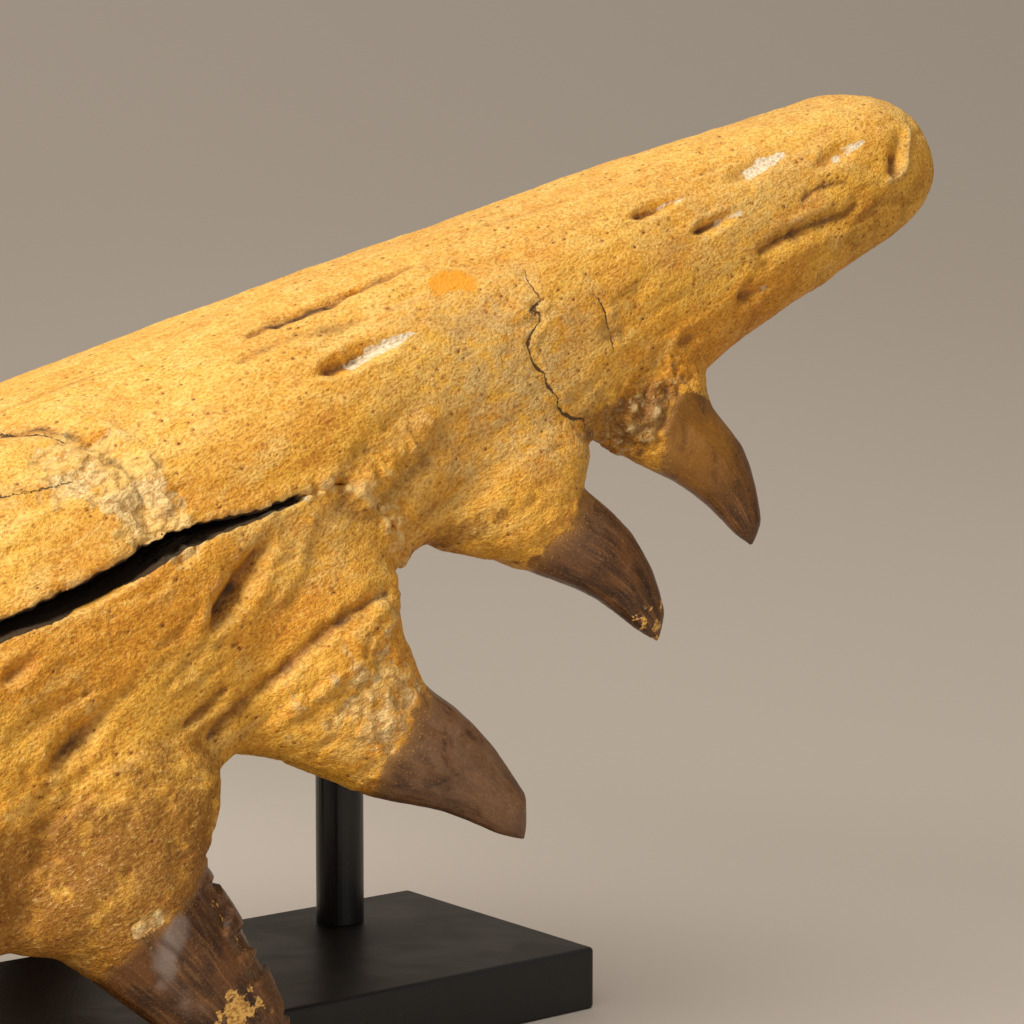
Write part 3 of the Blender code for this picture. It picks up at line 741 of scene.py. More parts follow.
    # painted shade: the walls seen inside the gap are coloured near black
    row = np.interp(a, *zip(*ROW_HALF))
    rear = step(-0.30, -0.60, n[:, 0]) * step(-7.0, -9.5, a)
    inner = (1 - rear) * step(6.2, 3.4, np.abs(t) - row) * (sd > -16) * (sd < 4) * step(112, 106, a) * (b > 70)
    m["painted_hollow_shade"] = np.maximum(m["painted_hollow_shade"], 1.2 * inner)
    mouth = (1 - rear) * (a < 102) * (np.abs(t) > 25) * step(102, 96, a)
    m["painted_hollow_shade"] = np.maximum(m["painted_hollow_shade"], mouth * step(0.45, 0.75, np.abs(n[:, 2])) * (np.abs(sd + 1.2) < 3.2)
                           * step(0.2, 0.8, wall_depth))
    m["white"] = np.maximum(m["white"], 0.8 * np.exp(-((sd + 1.0) / 1.0) ** 2) * (np.abs(t) > 34)
                            * step(0.0, 0.4, fbm(p / 7.0, 2, seed=49)) * (a < 100))
    seam = np.exp(-(sd / 1.5) ** 2) * (np.abs(t) > 30) * step(99, 104, a) * (b > 66)
    m["stain_and_shade"] = np.maximum(m["stain_and_shade"], 0.5 * seam * step(-0.1, 0.3, rough))

    # front end of the snout: shallow radiating hollows and a pit with a raised rim
    tipw = step(268, 292, a)
    ang = np.arctan2(b - 88, t)
    h -= tipw * 0.55 * step(0.1, 0.6, fbm(np.stack((ang * 3.1, a / 14.0, np.zeros(count)), 1), 2, seed=50))
    dist, place, run = to_path(p, ((293.3, -22.4, 92.4), (292.3, -22.7, 90.9), (291.0, -23.0, 89.6)))
    h -= 1.7 * np.exp(-(dist / 2.0) ** 2)
    # painted shade and stain darken the pit and the groove trailing up from it
    m["stain_and_shade"] = np.maximum(m["stain_and_shade"], 0.95 * np.exp(-(dist / 2.0) ** 2))
    dist, place, run = to_path(p, ((299.0, -19.8, 97.0), (296.0, -21.4, 94.6), (293.3, -22.4, 92.4)))
    h -= 0.7 * np.exp(-(dist / 2.0) ** 2)
    m["stain_and_shade"] = np.maximum(m["stain_and_shade"], 0.5 * np.exp(-(dist / 1.8) ** 2))
    dist, place, run = to_path(p, ((303.2, -17.7, 96.4), (300.8, -19.5, 94.4), (298.1, -21.1, 92.1),
                                   (296.1, -21.8, 89.8), (294.5, -22.2, 88.4), (291.6, -22.9, 87.9),
                                   (288.0, -23.4, 88.3)))
    h += 0.9 * np.exp(-(dist / 1.1) ** 2)
    m["pale"] = np.maximum(m["pale"], 0.8 * np.exp(-(dist / 1.2) ** 2))
    m["stain_and_shade"] = np.maximum(m["stain_and_shade"], 0.35 * tipw * step(0.1, 0.6, fbm(p / 12.0, 2, seed=51)))

    # chance orange stain
    flat = (p - np.array((160.2, -29.3, 117.0)))
    along = flat @ np.array((0.985, -0.08, -0.15))
    up = flat @ np.array((0.12, 0.62, 0.77))
    oval = 1 - np.sqrt((along / 5.9) ** 2 + (up / 4.8) ** 2)
    bite = np.sqrt(((along + 1.5) / 5.0) ** 2 + ((up + 5.2) / 4.0) ** 2) - 1
    m["orange"] = np.where(near & (b > 95), np.minimum(oval, bite) * 5.0, -6.0)

    # ---- underside: hollows beside the tooth bases, grooves between the palate bars
    under = step(-0.25, -0.75, n[:, 2])
    for tooth in TEETH:
        for side in (-1, 1):
            c = np.array((tooth.row_a - 14, side * (tooth.row - tooth.thick - 1),
                          float(np.interp(tooth.row_a - 14, *zip(*MARGIN))) + 2.5))
            d = np.linalg.norm((p - c) / np.array((1.3, 1.0, 1.4)), axis=1)
            h -= 1.9 * np.exp(-(d / 4.2) ** 2) * body
            m["stain_and_shade"] = np.maximum(m["stain_and_shade"], 0.7 * np.exp(-(d / 4.6) ** 2))
    mid_dist = np.abs(np.abs(t) - 8.0)
    h -= 0.9 * np.exp(-(mid_dist / 2.2) ** 2) * under * body
    m["stain_and_shade"] = np.maximum(m["stain_and_shade"], 0.45 * np.exp(-(mid_dist / 2.6) ** 2) * under)
    m["crumb"] = np.maximum(m["crumb"], 0.55 * under * body * step(0.05, 0.45, fbm(p / 13.0, 3, seed=52))
                            * (np.abs(t) < 34))

    # ---- the broken rear face: dense rim, spongy middle
    face = step(-0.55, -0.85, n[:, 0]) * step(-8.5, -10.5, a)
    one, two = cells(p / 2.6, seed=61)
    h -= face * (0.8 * step(0.55, 0.2, one) + 0.9 * np.maximum(fbm(p / 8.0, 3, seed=62), -0.4))
    m["fresh"] = face
    # painted shade in the spongy pits of the break
    m["painted_hollow_shade"] = np.maximum(m["painted_hollow_shade"], 0.8 * face * step(0.42, 0.22, one) * step(-0.2, 0.3, fbm(p / 9.0, 2, seed=63)))
    # crowns are carved no deeper than 1.6 mm
    h = np.where(crown > 0.5, np.maximum(h, -1.6), h)
    m["ec"] = ec
    m["crown"] = crown
    m["root"] = root
    return h, m


CAPS = {"premaxilla": 0.86, "maxilla_right": 0.66, "maxilla_left": 0.92, "palate": 1.10}
BONE_ONLY, CROWN_ONLY = -4.5, 4.5


def build_bone(name, seed):
    node = frame["nodes"][name]
    points, faces = solid_arrays(node)
    ob = remeshed(name + "_bone", points, faces, CAPS[name] * (1.0))
    me = ob.data
    net = Net(me)
    p = get_points(me)
    raw = net.normals(p)
    scale = CAPS[name]
    p = net.taubin(p, int(round(7 / scale ** 2)))
    # melt the flats of the bone's wall, but leave crowns, the rear break and the jaw's mating edges
    guard = np.ones(len(p))
    for tooth in TEETH:
        for side in (-1, 1):
            dist, place, run = to_path(p, tooth.path(side, KEEP[side][tooth.number - 1]))
            edge = signed_side(p[:, (0, 2)], tooth.border)
            guard = np.where((dist < tooth.reach + 3) & (np.sign(p[:, 1]) == side),
                             np.minimum(guard, step(-1.0, -9.0, edge) + 0.04), guard)
    guard = guard * step(-9.5, -4.0, p[:, 0])
    melted = net.melt(p, int(round(22 / scale ** 2)), guard)
    sd = np.abs(signed_side(p[:, (0, 2)], LIP_TOP, open_ends=True))
    lips = step(6.5, 2.5, sd)[:, None]
    p = melted + 0.6 * lips * (p - melted)
    blunt = np.zeros(len(p))
    for tooth in TEETH:
        for side in (-1, 1):
            dist, place, run = to_path(p, tooth.path(side, KEEP[side][tooth.number - 1]))
            blunt = np.maximum(blunt, step(run - 6, run - 0.5, place) * (dist < 9) * (np.sign(p[:, 1]) == side))
    p = net.melt(p, int(round(5 / scale ** 2)), blunt)
    if name == "premaxilla":
        below = signed_side(p[:, (0, 2)], TEETH[1].border)
        lift = step(-7.0, 1.0, below) * step(10, 16, p[:, 1]) * step(132, 140, p[:, 0]) * step(186, 178, p[:, 0])
        p = p + lift[:, None] * np.array((-0.5, 0.0, 3.6))
    n = net.normals(p)
    h, m = sculpt(p, n, net, seed, step(0.15, 0.75, np.abs(raw[:, 2])))
    p = p + h[:, None] * n
    world = (p * MM) @ TURN.T + SKULL_AT
    world = np.clip(world, np.array(CAD_BOX[0]) + 2e-5, np.array(CAD_BOX[1]) - 2e-5)
    me.vertices.foreach_set("co", world.astype(np.float32).ravel())
    n = net.normals(p)
    # hollow and proud places: painted shade darkens the hollows; proud edges are paler, partly rubbed wear and partly
    # painted highlight
    rough = (net.blur(p, 2) - net.blur(p, int(9 / scale)))
    proud = (rough * n).sum(1)
    m["proud"] = np.clip(proud / 0.35, -1.5, 1.5)
    # painted highlight: how far each place faces up, used to colour upward faces paler as if lit from above
    m["top"] = step(0.05, 0.85, n @ (np.array((0.0, 0.0, 1.0)) @ TURN))
    for key, values in m.items():
        store(me, key, values)
    # slots: bone, border, crown
    total = np.empty(len(me.polygons), np.int32)
    me.polygons.foreach_get("loop_total", total)
    begin = np.empty(len(me.polygons), np.int32)
    me.polygons.foreach_get("loop_start", begin)
    loops = np.empty(len(me.loops), np.int32)
    me.loops.foreach_get("vertex_index", loops)
    face_lo = np.minimum.reduceat(m["enamel"][loops], begin)
    face_hi = np.maximum.reduceat(m["enamel"][loops], begin)
    index = np.where(face_hi < BONE_ONLY, 0, np.where(face_lo > CROWN_ONLY, 2, 1))
    me.shade_smooth()
    me.update()
    return ob, index.astype(np.int32)


# ------------------------------------------------------------- materials
def linear(r, g, b):
    out = []
    for v in (r, g, b):
        v = v / 255.0
        out.append(v / 12.92 if v <= 0.04045 else ((v + 0.055) / 1.055) ** 2.4)
    return (*out, 1.0)


class Graph:
    """Short names for the shader nodes used here."""

    def __init__(self, name):
        self.mat = bpy.data.materials.new(name)
        self.mat.use_nodes = True
        self.tree = self.mat.node_tree
        self.bsdf = self.tree.nodes["Principled BSDF"]

    def node(self, kind, **props):
        nd = self.tree.nodes.new(kind)
        for k, v in props.items():
            setattr(nd, k, v)
        return nd

    def put(self, socket, value):
        if isinstance(value, bpy.types.NodeSocket):
            self.tree.links.new(value, socket)
        else:
            socket.default_value = value

    def math(self, op, a, b=None, c=None, clamp=False):
        nd = self.node("ShaderNodeMath", operation=op, use_clamp=clamp)
        for sock, v in zip(nd.inputs, (a, b, c)):
            if v is not None:
                self.put(sock, v)
        return nd.outputs[0]

    def vec(self, op, a, b=None):
        nd = self.node("ShaderNodeVectorMath", operation=op)
        self.put(nd.inputs[0], a)
        if b is not None:
            self.put(nd.inputs[1], b)
        return nd.outputs[0]

    def mix(self, fac, a, b, mode="MIX"):
        nd = self.node("ShaderNodeMix", data_type="RGBA", blend_type=mode)
        self.put(nd.inputs[0], fac)
        self.put(nd.inputs[6], a)
        self.put(nd.inputs[7], b)
        return nd.outputs[2]

    def num(self, fac, a, b):
        nd = self.node("ShaderNodeMix", data_type="FLOAT")
        self.put(nd.inputs[0], fac)
        self.put(nd.inputs[2], a)
        self.put(nd.inputs[3], b)
        return nd.outputs[0]

    def ramp(self, x, lo, hi, to_lo=0.0, to_hi=1.0, smooth=True):
        nd = self.node("ShaderNodeMapRange", interpolation_type="SMOOTHSTEP" if smooth else "LINEAR")
        if lo > hi:
            lo, hi, to_lo, to_hi = hi, lo, to_hi, to_lo
        self.put(nd.inputs["Value"], x)
        self.put(nd.inputs["From Min"], lo)
        self.put(nd.inputs["From Max"], hi)
        self.put(nd.inputs["To Min"], to_lo)
        self.put(nd.inputs["To Max"], to_hi)
        return nd.outputs[0]

    def noise(self, v, detail=3.0, rough=0.5, distortion=0.0, colour=False):
        nd = self.node("ShaderNodeTexNoise", noise_dimensions="3D")
        self.put(nd.inputs["Vector"], v)
        nd.inputs["Scale"].default_value = 1.0
        nd.inputs["Detail"].default_value = detail
        nd.inputs["Roughness"].default_value = rough
        nd.inputs["Distortion"].default_value = distortion
        return nd.outputs["Color" if colour else "Fac"]

    def cells(self, v, feature="F1", randomness=1.0):
        nd = self.node("ShaderNodeTexVoronoi", feature=feature)
        self.put(nd.inputs["Vector"], v)
        nd.inputs["Scale"].default_value = 1.0
        nd.inputs["Randomness"].default_value = randomness
        return nd

    def attr(self, name, vector=False):
        nd = self.node("ShaderNodeAttribute", attribute_name=name)
        return nd.outputs["Vector" if vector else "Fac"]

    def millimetres(self):
        """Skull frame coordinates in millimetres, from the mesh's own world coordinates."""
        mp = self.node("ShaderNodeMapping", vector_type="TEXTURE")
        self.tree.links.new(self.node("ShaderNodeTexCoord").outputs["Object"], mp.inputs["Vector"])
        mp.inputs["Location"].default_value = SKULL_AT.tolist()
        mp.inputs["Rotation"].default_value = (0.0, -PITCH, YAW)
        mp.inputs["Scale"].default_value = (MM, MM, MM)
        return mp.outputs["Vector"]

    def stretched(self, co, *sizes):
        return self.vec("DIVIDE", co, sizes)

    def bump(self, height, strength=1.0, distance=0.001, normal=None):
        nd = self.node("ShaderNodeBump")
        nd.inputs["Strength"].default_value = strength
        nd.inputs["Distance"].default_value = distance
        self.put(nd.inputs["Height"], height)
        if normal is not None:
            self.put(nd.inputs["Normal"], normal)
        return nd.outputs[0]


def bone_side(g, co, cw, mottle, grain, sediment):
    """Colour, height (mm) and roughness of bone, pores, sediment and stains, with painted shade in hollows and painted
    highlight on upward faces.
    """
    large = g.noise(g.stretched(co, 46, 27, 27), 2, 0.55, 0.4)
    patchy = g.noise(g.stretched(co, 13, 7.5, 7.5), 4, 0.6, 0.3)
    fibre = g.noise(g.stretched(cw, 7, 1.3, 1.3), 2, 0.6)
    pore = g.cells(g.stretched(cw, 2.3, 1.7, 1.7))
    pore_r = g.node("ShaderNodeSeparateColor")
    g.put(pore_r.inputs[0], pore.outputs["Color"])
    pore_on = g.math("MULTIPLY", g.ramp(pore_r.outputs[0], 0.40, 0.56), g.ramp(patchy, 0.34, 0.54))
    reach = g.math("DIVIDE", pore.outputs["Distance"], g.ramp(pore_r.outputs[1], 0.0, 1.0, 0.45, 1.25))
    pores = g.math("MULTIPLY", g.ramp(reach, 0.19, 0.10), pore_on)
    halo = g.math("MULTIPLY", g.ramp(reach, 0.42, 0.14), pore_on)
    knobs = pore.outputs["Distance"]
    A = {k: g.attr(k) for k in ("painted_hollow_shade", "stain_and_shade", "pale", "white", "crumb", "orange", "crack", "crackm", "fresh",
                                "gold", "proud", "top", "root", "purple")}
    centred = g.math("SUBTRACT", mottle, 0.5)

    def broken(value, spread, lo, hi):
        """A mask whose border is frayed by the mottle."""
        return g.ramp(g.math("MULTIPLY_ADD", centred, spread, value), lo, hi)

    c = g.mix(g.ramp(large, 0.34, 0.62), linear(234, 160, 34), linear(248, 186, 62))
    c = g.mix(g.ramp(patchy, 0.50, 0.70, 0.0, 0.55), c, linear(252, 210, 118))
    c = g.mix(g.ramp(patchy, 0.47, 0.30, 0.0, 0.60), c, linear(218, 140, 32))
    # painted highlight: upward faces are coloured paler cream, as if lit from above
    c = g.mix(g.math("MULTIPLY", A["top"], g.ramp(mottle, 0.3, 0.7, 0.15, 0.6)), c, linear(255, 214, 122))
    c = g.mix(g.math("MULTIPLY", A["gold"], g.ramp(mottle, 0.3, 0.6, 0.10, 0.45)), c, linear(236, 164, 46))
    pale_m = g.math("MULTIPLY", A["pale"], g.ramp(mottle, 0.32, 0.60))
    c = g.mix(g.math("MULTIPLY", pale_m, 0.72), c, linear(220, 186, 124))
    # stain and painted shade: darker brown where the stain-and-shade mask is set
    stain_and_shade_m = broken(A["stain_and_shade"], 0.9, 0.20, 0.95)
    c = g.mix(g.math("MULTIPLY", stain_and_shade_m, 0.80), c, linear(142, 88, 6))
    c = g.mix(g.math("MULTIPLY", broken(A["purple"], 0.8, 0.25, 0.75), 0.80), c, linear(112, 78, 48))
    # grit between the grains
    c = g.mix(1.0, c, g.mix(g.ramp(grain, 0.30, 0.58), linear(215, 192, 154), linear(255, 255, 255)), "MULTIPLY")
    c = g.mix(g.ramp(fibre, 0.42, 0.26, 0.0, 0.25), c, linear(186, 116, 28))
    c = g.mix(g.ramp(grain, 0.58, 0.74, 0.0, 0.44), c, linear(255, 230, 152))
    c = g.mix(g.math("MULTIPLY", halo, 0.45), c, linear(186, 110, 26))
    c = g.mix(g.math("MULTIPLY", pores, 0.85), c, linear(96, 52, 12))
    # painted shade: hollows coloured darker brown; proud edges paler, partly rubbed wear and partly painted highlight
    c = g.mix(g.ramp(A["proud"], -0.15, -1.1, 0.0, 0.55), c, linear(150, 90, 32))
    c = g.mix(g.ramp(A["proud"], 0.35, 1.3, 0.0, 0.45), c, linear(255, 226, 156))
    # crumbled sediment
    crumb_m = broken(A["crumb"], 1.1, 0.30, 0.62)
    if sediment:
        crumb_m = g.math("MAXIMUM", crumb_m, g.ramp(patchy, 0.42, 0.58, 0.0, sediment))
    sed = g.mix(g.ramp(grain, 0.34, 0.62), linear(214, 172, 104), linear(250, 222, 160))
    sed = g.mix(g.ramp(patchy, 0.42, 0.60, 0.0, 0.7), sed, linear(242, 190, 88))
    sed = g.mix(g.ramp(knobs, 0.50, 0.74, 0.0, 0.60), sed, linear(150, 100, 40))
    c = g.mix(g.math("MULTIPLY", crumb_m, 0.80), c, sed)
    raw = g.mix(g.ramp(knobs, 0.30, 0.62), linear(224, 196, 146), linear(124, 80, 36))
    c = g.mix(g.math("MULTIPLY", A["fresh"], 0.8), c, g.mix(g.ramp(patchy, 0.40, 0.60), raw, linear(220, 176, 104)))
    white_m = broken(A["white"], 1.1, 0.36, 0.62)
    c = g.mix(g.math("MULTIPLY", white_m, 0.88), c,
              g.mix(g.ramp(grain, 0.3, 0.7), linear(214, 186, 144), linear(255, 242, 212)))
    orange_e = g.math("MULTIPLY_ADD", g.math("SUBTRACT", grain, 0.5), 5.0, g.math("MULTIPLY_ADD", centred, 3.0, A["orange"]))
    orange_m = g.ramp(orange_e, 0.0, 0.30)
    c = g.mix(g.math("MULTIPLY", orange_m, 0.95), c, linear(244, 158, 16))
    # cracks: thin, of changing width
    cr = g.math("ABSOLUTE", g.math("MULTIPLY_ADD", g.math("SUBTRACT", grain, 0.5), 1.3, A["crack"]))
    crack_w = g.math("MAXIMUM", g.math("MULTIPLY", A["crackm"], 0.85), 0.0001)
    crack_m = g.math("MULTIPLY", g.ramp(g.math("DIVIDE", cr, crack_w), 1.0, 0.45), g.ramp(A["crackm"], 0.02, 0.12))
    c = g.mix(g.math("MULTIPLY", crack_m, 0.88), c, linear(58, 34, 18))
    # painted shade: near black in the deepest hollows, the gap and the openings
    painted_hollow_shade_m = broken(A["painted_hollow_shade"], 0.7, 0.32, 0.78)
    c = g.mix(g.math("MULTIPLY", painted_hollow_shade_m, 0.94), c, linear(26, 15, 9))

    height = g.math("MULTIPLY", g.math("SUBTRACT", grain, 0.5), 0.44)
    height = g.math("MULTIPLY_ADD", centred, 0.36, height)
    height = g.math("MULTIPLY_ADD", g.math("SUBTRACT", fibre, 0.5), 0.20, height)
    height = g.math("MULTIPLY_ADD", halo, -0.16, height)
    height = g.math("MULTIPLY_ADD", crack_m, -0.8, height)
    height = g.math("MULTIPLY_ADD", g.math("MAXIMUM", crumb_m, A["fresh"]),
                    g.math("MULTIPLY", g.math("SUBTRACT", 0.5, knobs), 0.45), height)
    rough = g.ramp(mottle, 0.3, 0.7, 0.50, 0.78)
    rough = g.num(A["root"], rough, g.ramp(patchy, 0.3, 0.7, 0.36, 0.62))
    rough = g.math("MAXIMUM", rough, g.math("MULTIPLY", painted_hollow_shade_m, 0.95))
    return c, height, rough


def crown_side(g, co, wob, grain):
    """Colour, height (mm) and roughness of the enamel."""
    A = {k: g.attr(k) for k in ("amber", "haze", "proud", "enamel", "painted_highlight", "crumb")}
    ec = g.attr("ec", vector=True)
    ecw = g.vec("ADD", ec, g.vec("MULTIPLY", wob, (0.5, 0.25, 0.25)))
    streak = g.noise(g.stretched(ecw, 11, 0.80, 0.80), 2, 0.6)
    band = g.noise(g.stretched(ecw, 14, 4.0, 4.0), 2, 0.6, 0.4)
    cloud = g.noise(g.stretched(co, 5.5, 4.5, 7), 3, 0.62, 0.5)
    dust = g.noise(g.stretched(co, 0.42, 0.42, 0.42), 1, 0.5)
    e = g.mix(g.ramp(band, 0.32, 0.64), linear(58, 32, 11), linear(110, 67, 28))
    e = g.mix(g.ramp(streak, 0.50, 0.70, 0.0, 0.32), e, linear(158, 110, 62))
    e = g.mix(g.math("MULTIPLY", A["haze"], g.ramp(cloud, 0.32, 0.60, 0.35, 0.95)), e, linear(136, 100, 70))
    e = g.mix(g.math("MULTIPLY", A["amber"], g.ramp(cloud, 0.25, 0.7, 0.6, 1.0)), e, linear(156, 102, 24))
    e = g.mix(g.ramp(cloud, 0.60, 0.76, 0.0, 0.35), e, linear(158, 116, 76))
    e = g.mix(g.ramp(A["enamel"], 5.5, 0.2, 0.0, 0.55), e, linear(170, 118, 50))
    # painted highlight: proud places on the enamel are coloured paler
    e = g.mix(g.ramp(A["proud"], 0.3, 1.4, 0.0, 0.30), e, linear(170, 124, 82))
    e = g.mix(g.ramp(dust, 0.56, 0.72, 0.0, 0.22), e, linear(186, 138, 84))
    e = g.mix(g.ramp(dust, 0.45, 0.30, 0.0, 0.22), e, linear(46, 27, 14))
    e = g.mix(g.ramp(cloud, 0.44, 0.28, 0.0, 0.55), e, linear(58, 34, 17))
    # painted highlight on the fourth crown: a pale streak standing in for the key light's reflection
    e = g.mix(g.math("MULTIPLY", A["painted_highlight"], g.ramp(band, 0.32, 0.62, 0.10, 0.70)), e, linear(156, 142, 132))
    dots = g.math("MULTIPLY", g.ramp(dust, 0.64, 0.72), g.ramp(A["enamel"], 9, 0.5, 0.06, 0.9))
    dots = g.math("MAXIMUM", dots, g.ramp(g.math("MULTIPLY_ADD", g.math("SUBTRACT", grain, 0.5), 1.2, A["crumb"]), 0.40, 0.58))
    e = g.mix(dots, e, g.mix(g.ramp(grain, 0.34, 0.62), linear(166, 112, 44), linear(236, 184, 96)))
    height = g.math("MULTIPLY", g.math("SUBTRACT", streak, 0.5), 0.16)
    height = g.math("MULTIPLY_ADD", g.math("SUBTRACT", cloud, 0.5), 0.26, height)
    height = g.math("MULTIPLY_ADD", g.math("SUBTRACT", dust, 0.5), 0.05, height)
    height = g.math("MULTIPLY_ADD", dots, 0.10, height)
    rough = g.math("MULTIPLY_ADD", dots, 0.3, g.ramp(cloud, 0.32, 0.70, 0.20, 0.36))
    rough = g.math("MULTIPLY_ADD", A["haze"], 0.12, rough)
    return e, height, rough, cloud


def bone_material(name, kind="bone", sediment=0.0):
    """kind: bone, crown, or border, where the one gives way to the other."""
    g = Graph(name)
    co = g.millimetres()
    wob = g.vec("MULTIPLY", g.vec("SUBTRACT", g.noise(g.stretched(co, 3.2, 2.4, 2.4), 1, 0.6, colour=True),
                                  (0.5, 0.5, 0.5)), (0.9, 0.7, 0.7))
    cw = g.vec("ADD", co, wob)
    grain = g.noise(g.stretched(co, 0.95, 0.62, 0.62), 2, 0.68)
    if kind != "crown":
        mottle = g.noise(g.stretched(cw, 4.4, 2.8, 2.8), 3, 0.62)
        colour, height, rough = bone_side(g, co, cw, mottle, grain, sediment)
    if kind != "bone":
        e, enamel_h, enamel_r, cloud = crown_side(g, co, wob, grain)
    if kind == "crown":
        colour, height, rough = e, enamel_h, enamel_r
    if kind == "border":
        edge = g.attr("enamel")
        border = g.math("MULTIPLY_ADD", g.math("SUBTRACT", mottle, 0.5), 5.5, edge)
        border = g.math("MULTIPLY_ADD", g.math("SUBTRACT", grain, 0.5), 5.0, border)
        is_crown = g.ramp(border, -0.7, 1.1)
        rim = g.math("MULTIPLY", g.ramp(border, -1.6, -0.1), g.math("SUBTRACT", 1.0, is_crown))
        colour = g.mix(g.math("MULTIPLY", rim, 0.35), colour, linear(128, 80, 34))
        colour = g.mix(is_crown, colour, e)
        height = g.num(is_crown, g.math("ADD", height, 0.22), enamel_h)
        rough = g.num(is_crown, rough, enamel_r)
    g.put(g.bsdf.inputs["Base Color"], colour)
    g.put(g.bsdf.inputs["Roughness"], rough)
    g.put(g.bsdf.inputs["Normal"], g.bump(height, 1.0, 0.001))
    g.bsdf.inputs["Specular IOR Level"].default_value = 0.5
    return g.mat


def metal_material(name, tone, rough_lo, rough_hi):
    """Satin black paint on steel: fine peel, faint dust, patchy tone and roughness."""
    g = Graph(name)
    co = g.vec("MULTIPLY", g.node("ShaderNodeTexCoord").outputs["Object"], (1000.0, 1000.0, 1000.0))
    peel = g.noise(g.stretched(co, 0.9, 0.9, 0.9), 3, 0.5)
    cloud = g.noise(g.stretched(co, 30, 22, 26), 4, 0.6, 0.4)
    smear = g.noise(g.stretched(co, 26, 18, 20), 3, 0.6, 0.5)
    dust = g.noise(g.stretched(co, 0.55, 0.55, 0.55), 2, 0.5)
    c = g.mix(g.ramp(cloud, 0.3, 0.7), linear(*tone), linear(*[v * 1.10 + 1 for v in tone]))
    c = g.mix(g.math("MULTIPLY", g.ramp(dust, 0.68, 0.76), 0.16), c, linear(120, 108, 92))
    g.put(g.bsdf.inputs["Base Color"], c)
    r = g.num(g.ramp(smear, 0.3, 0.7), rough_lo, rough_hi)
    g.put(g.bsdf.inputs["Roughness"], r)
    g.put(g.bsdf.inputs["Normal"], g.bump(peel, 0.55, 0.00008))
    g.bsdf.inputs["Specular IOR Level"].default_value = 0.5
    return g.mat


# ------------------------------------------------------------------ build
MIX = [bone_material("fossil_" + k, k) for k in ("bone", "border", "crown")]
PALATE = bone_material("fossil_palate", "bone", 0.8)
for index, (name, slot) in enumerate((("premaxilla", "bone"), ("maxilla_right", "bone"),
                                      ("maxilla_left", "bone"), ("palate", "matrix_bone"))):
    piece, slots = build_bone(name, 60 + index * 10)
    for mat in ([PALATE] if name == "palate" else MIX):
        piece.data.materials.append(mat)
    piece.data.polygons.foreach_set("material_index", slots * (name != "palate"))
    piece.data.update()
    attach(piece, "root")
    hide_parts(name)

PLATE = metal_material("plate_paint", (15, 14, 13), 0.36, 0.46)
ROD = metal_material("rod_paint", (15, 14, 14), 0.26, 0.36)
for name, mat in (("mount_base", PLATE), ("mount_rod", ROD)):
    me = frame["nodes"][name].data
    for k in range(max(1, len(me.materials))):
        if k < len(me.materials):
            me.materials[k] = mat
        else:
            me.materials.append(mat)

# ------------------------------------------------------------------ stage
g = Graph("studio_floor")
co = g.node("ShaderNodeTexCoord").outputs["Object"]
soft = g.noise(g.vec("MULTIPLY", co, (1.3, 1.3, 1.3)), 1, 0.5)
tone = g.mix(g.ramp(soft, 0.3, 0.7), linear(188, 176, 161), linear(191, 179, 164))
axes = g.node("ShaderNodeSeparateXYZ")
g.put(axes.inputs[0], co)
# painted light: the floor's colour is paler close to the stand and up the wall, standing in for how the light falls
near = g.math("MULTIPLY_ADD", axes.outputs[0], 0.8, axes.outputs[1])
tone = g.mix(g.ramp(near, 0.34, 0.10), tone, linear(204, 192, 178))
tone = g.mix(g.ramp(axes.outputs[2], 0.15, 0.70), tone, linear(198, 186, 172))
g.put(g.bsdf.inputs["Base Color"], tone)
g.bsdf.inputs["Roughness"].default_value = 0.9
g.bsdf.inputs["Specular IOR Level"].default_value = 0.15

rows = [(-4.0, 0.0), (-2.0, 0.0), (-0.5, 0.0)]
for k in range(49):                                    # floor, a very wide curve, then the wall
    w = k / 48 * math.pi / 2
    rows.append((0.45 + 2.6 * math.sin(w), 2.6 - 2.6 * math.cos(w)))
rows.append((3.05, 4.2))
verts = [(x, y, z) for y, z in rows for x in (-5.0, 5.0)]
faces = [(2 * k, 2 * k + 1, 2 * k + 3, 2 * k + 2) for k in range(len(rows) - 1)]
me = bpy.data.meshes.new("floor")
me.from_pydata(verts, [], faces)
me.shade_smooth()
me.materials.append(g.mat)
floor = bpy.data.objects.new("floor", me)
bpy.context.scene.collection.objects.link(floor)

# ----------------------------------------------------------- light, camera
LOOK_AT = Vector((0.0, 0.0, 0.13))


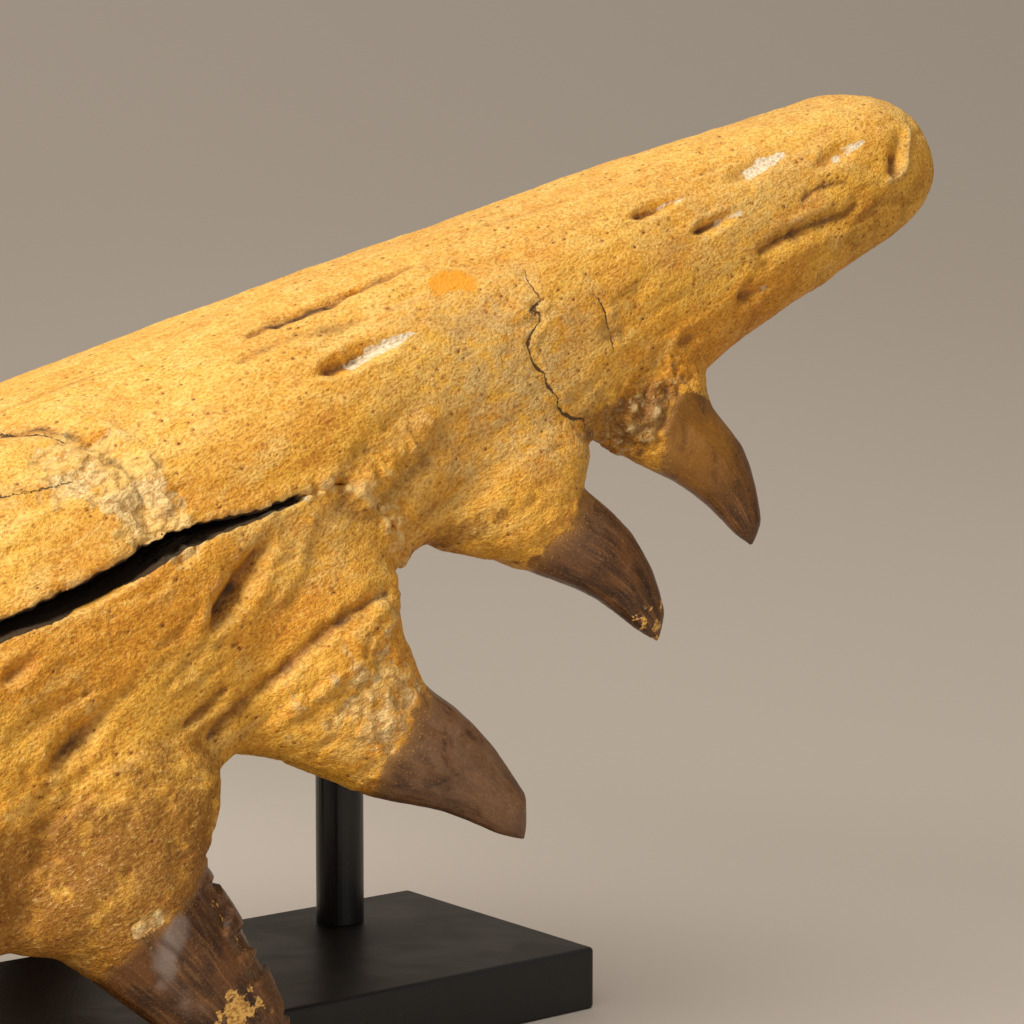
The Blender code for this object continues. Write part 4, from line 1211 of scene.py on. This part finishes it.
def area(name, at, size, watts, colour, target=LOOK_AT):
    data = bpy.data.lights.new(name, "AREA")
    data.shape = "RECTANGLE"
    data.size, data.size_y = size
    data.energy = watts
    data.color = colour
    ob = bpy.data.objects.new(name, data)
    ob.location = at
    ob.rotation_euler = (target - Vector(at)).to_track_quat("-Z", "Y").to_euler()
    bpy.context.scene.collection.objects.link(ob)
    return ob


key = area("key", (-0.80, -0.95, 1.02), (0.42, 0.42), 27.0, (1.0, 0.96, 0.905))
fill = area("fill", (0.9, -1.3, 0.55), (1.4, 1.1), 4.0, (1.0, 0.97, 0.94))
over = area("over", (0.15, 0.45, 1.25), (1.3, 0.7), 4.2, (1.0, 0.98, 0.95))
sweep = area("sweep", (-0.4, -0.5, 2.5), (3.6, 3.0), 55.0, (1.0, 0.975, 0.945), Vector((0.1, 0.4, 0.0)))
# the key and fill are flagged off the floor and the sweep light off the object, as in a studio
model_set = bpy.data.collections.new("lit_model")
floor_set = bpy.data.collections.new("lit_floor")
for ob in bpy.context.scene.objects:
    if ob.type == "MESH" and ob is not floor and not ob.hide_render:
        model_set.objects.link(ob)
floor_set.objects.link(floor)
for lamp in (key, fill):
    lamp.light_linking.receiver_collection = model_set
sweep.light_linking.receiver_collection = floor_set

world = bpy.data.worlds.new("studio")
world.use_nodes = True
world.node_tree.nodes["Background"].inputs[0].default_value = (1.0, 0.96, 0.92, 1.0)
world.node_tree.nodes["Background"].inputs[1].default_value = 0.20
bpy.context.scene.world = world

cam_data = bpy.data.cameras.new("camera")
cam_data.sensor_width = 36.0
cam_data.sensor_fit = "HORIZONTAL"
cam_data.lens = 2388.0 / 1024.0 * 36.0
cam_data.clip_start = 0.02
cam = bpy.data.objects.new("camera", cam_data)
cam.location = (0.04008, -0.55577, 0.162)
cam.rotation_euler = (math.pi / 2 - math.atan((512 - 336) / 2388.0), 0.0, 0.0)
bpy.context.scene.collection.objects.link(cam)
bpy.context.scene.camera = cam

scene = bpy.context.scene
scene.view_settings.view_transform = "Standard"
scene.view_settings.look = "None"

bpy.context.view_layer.update()
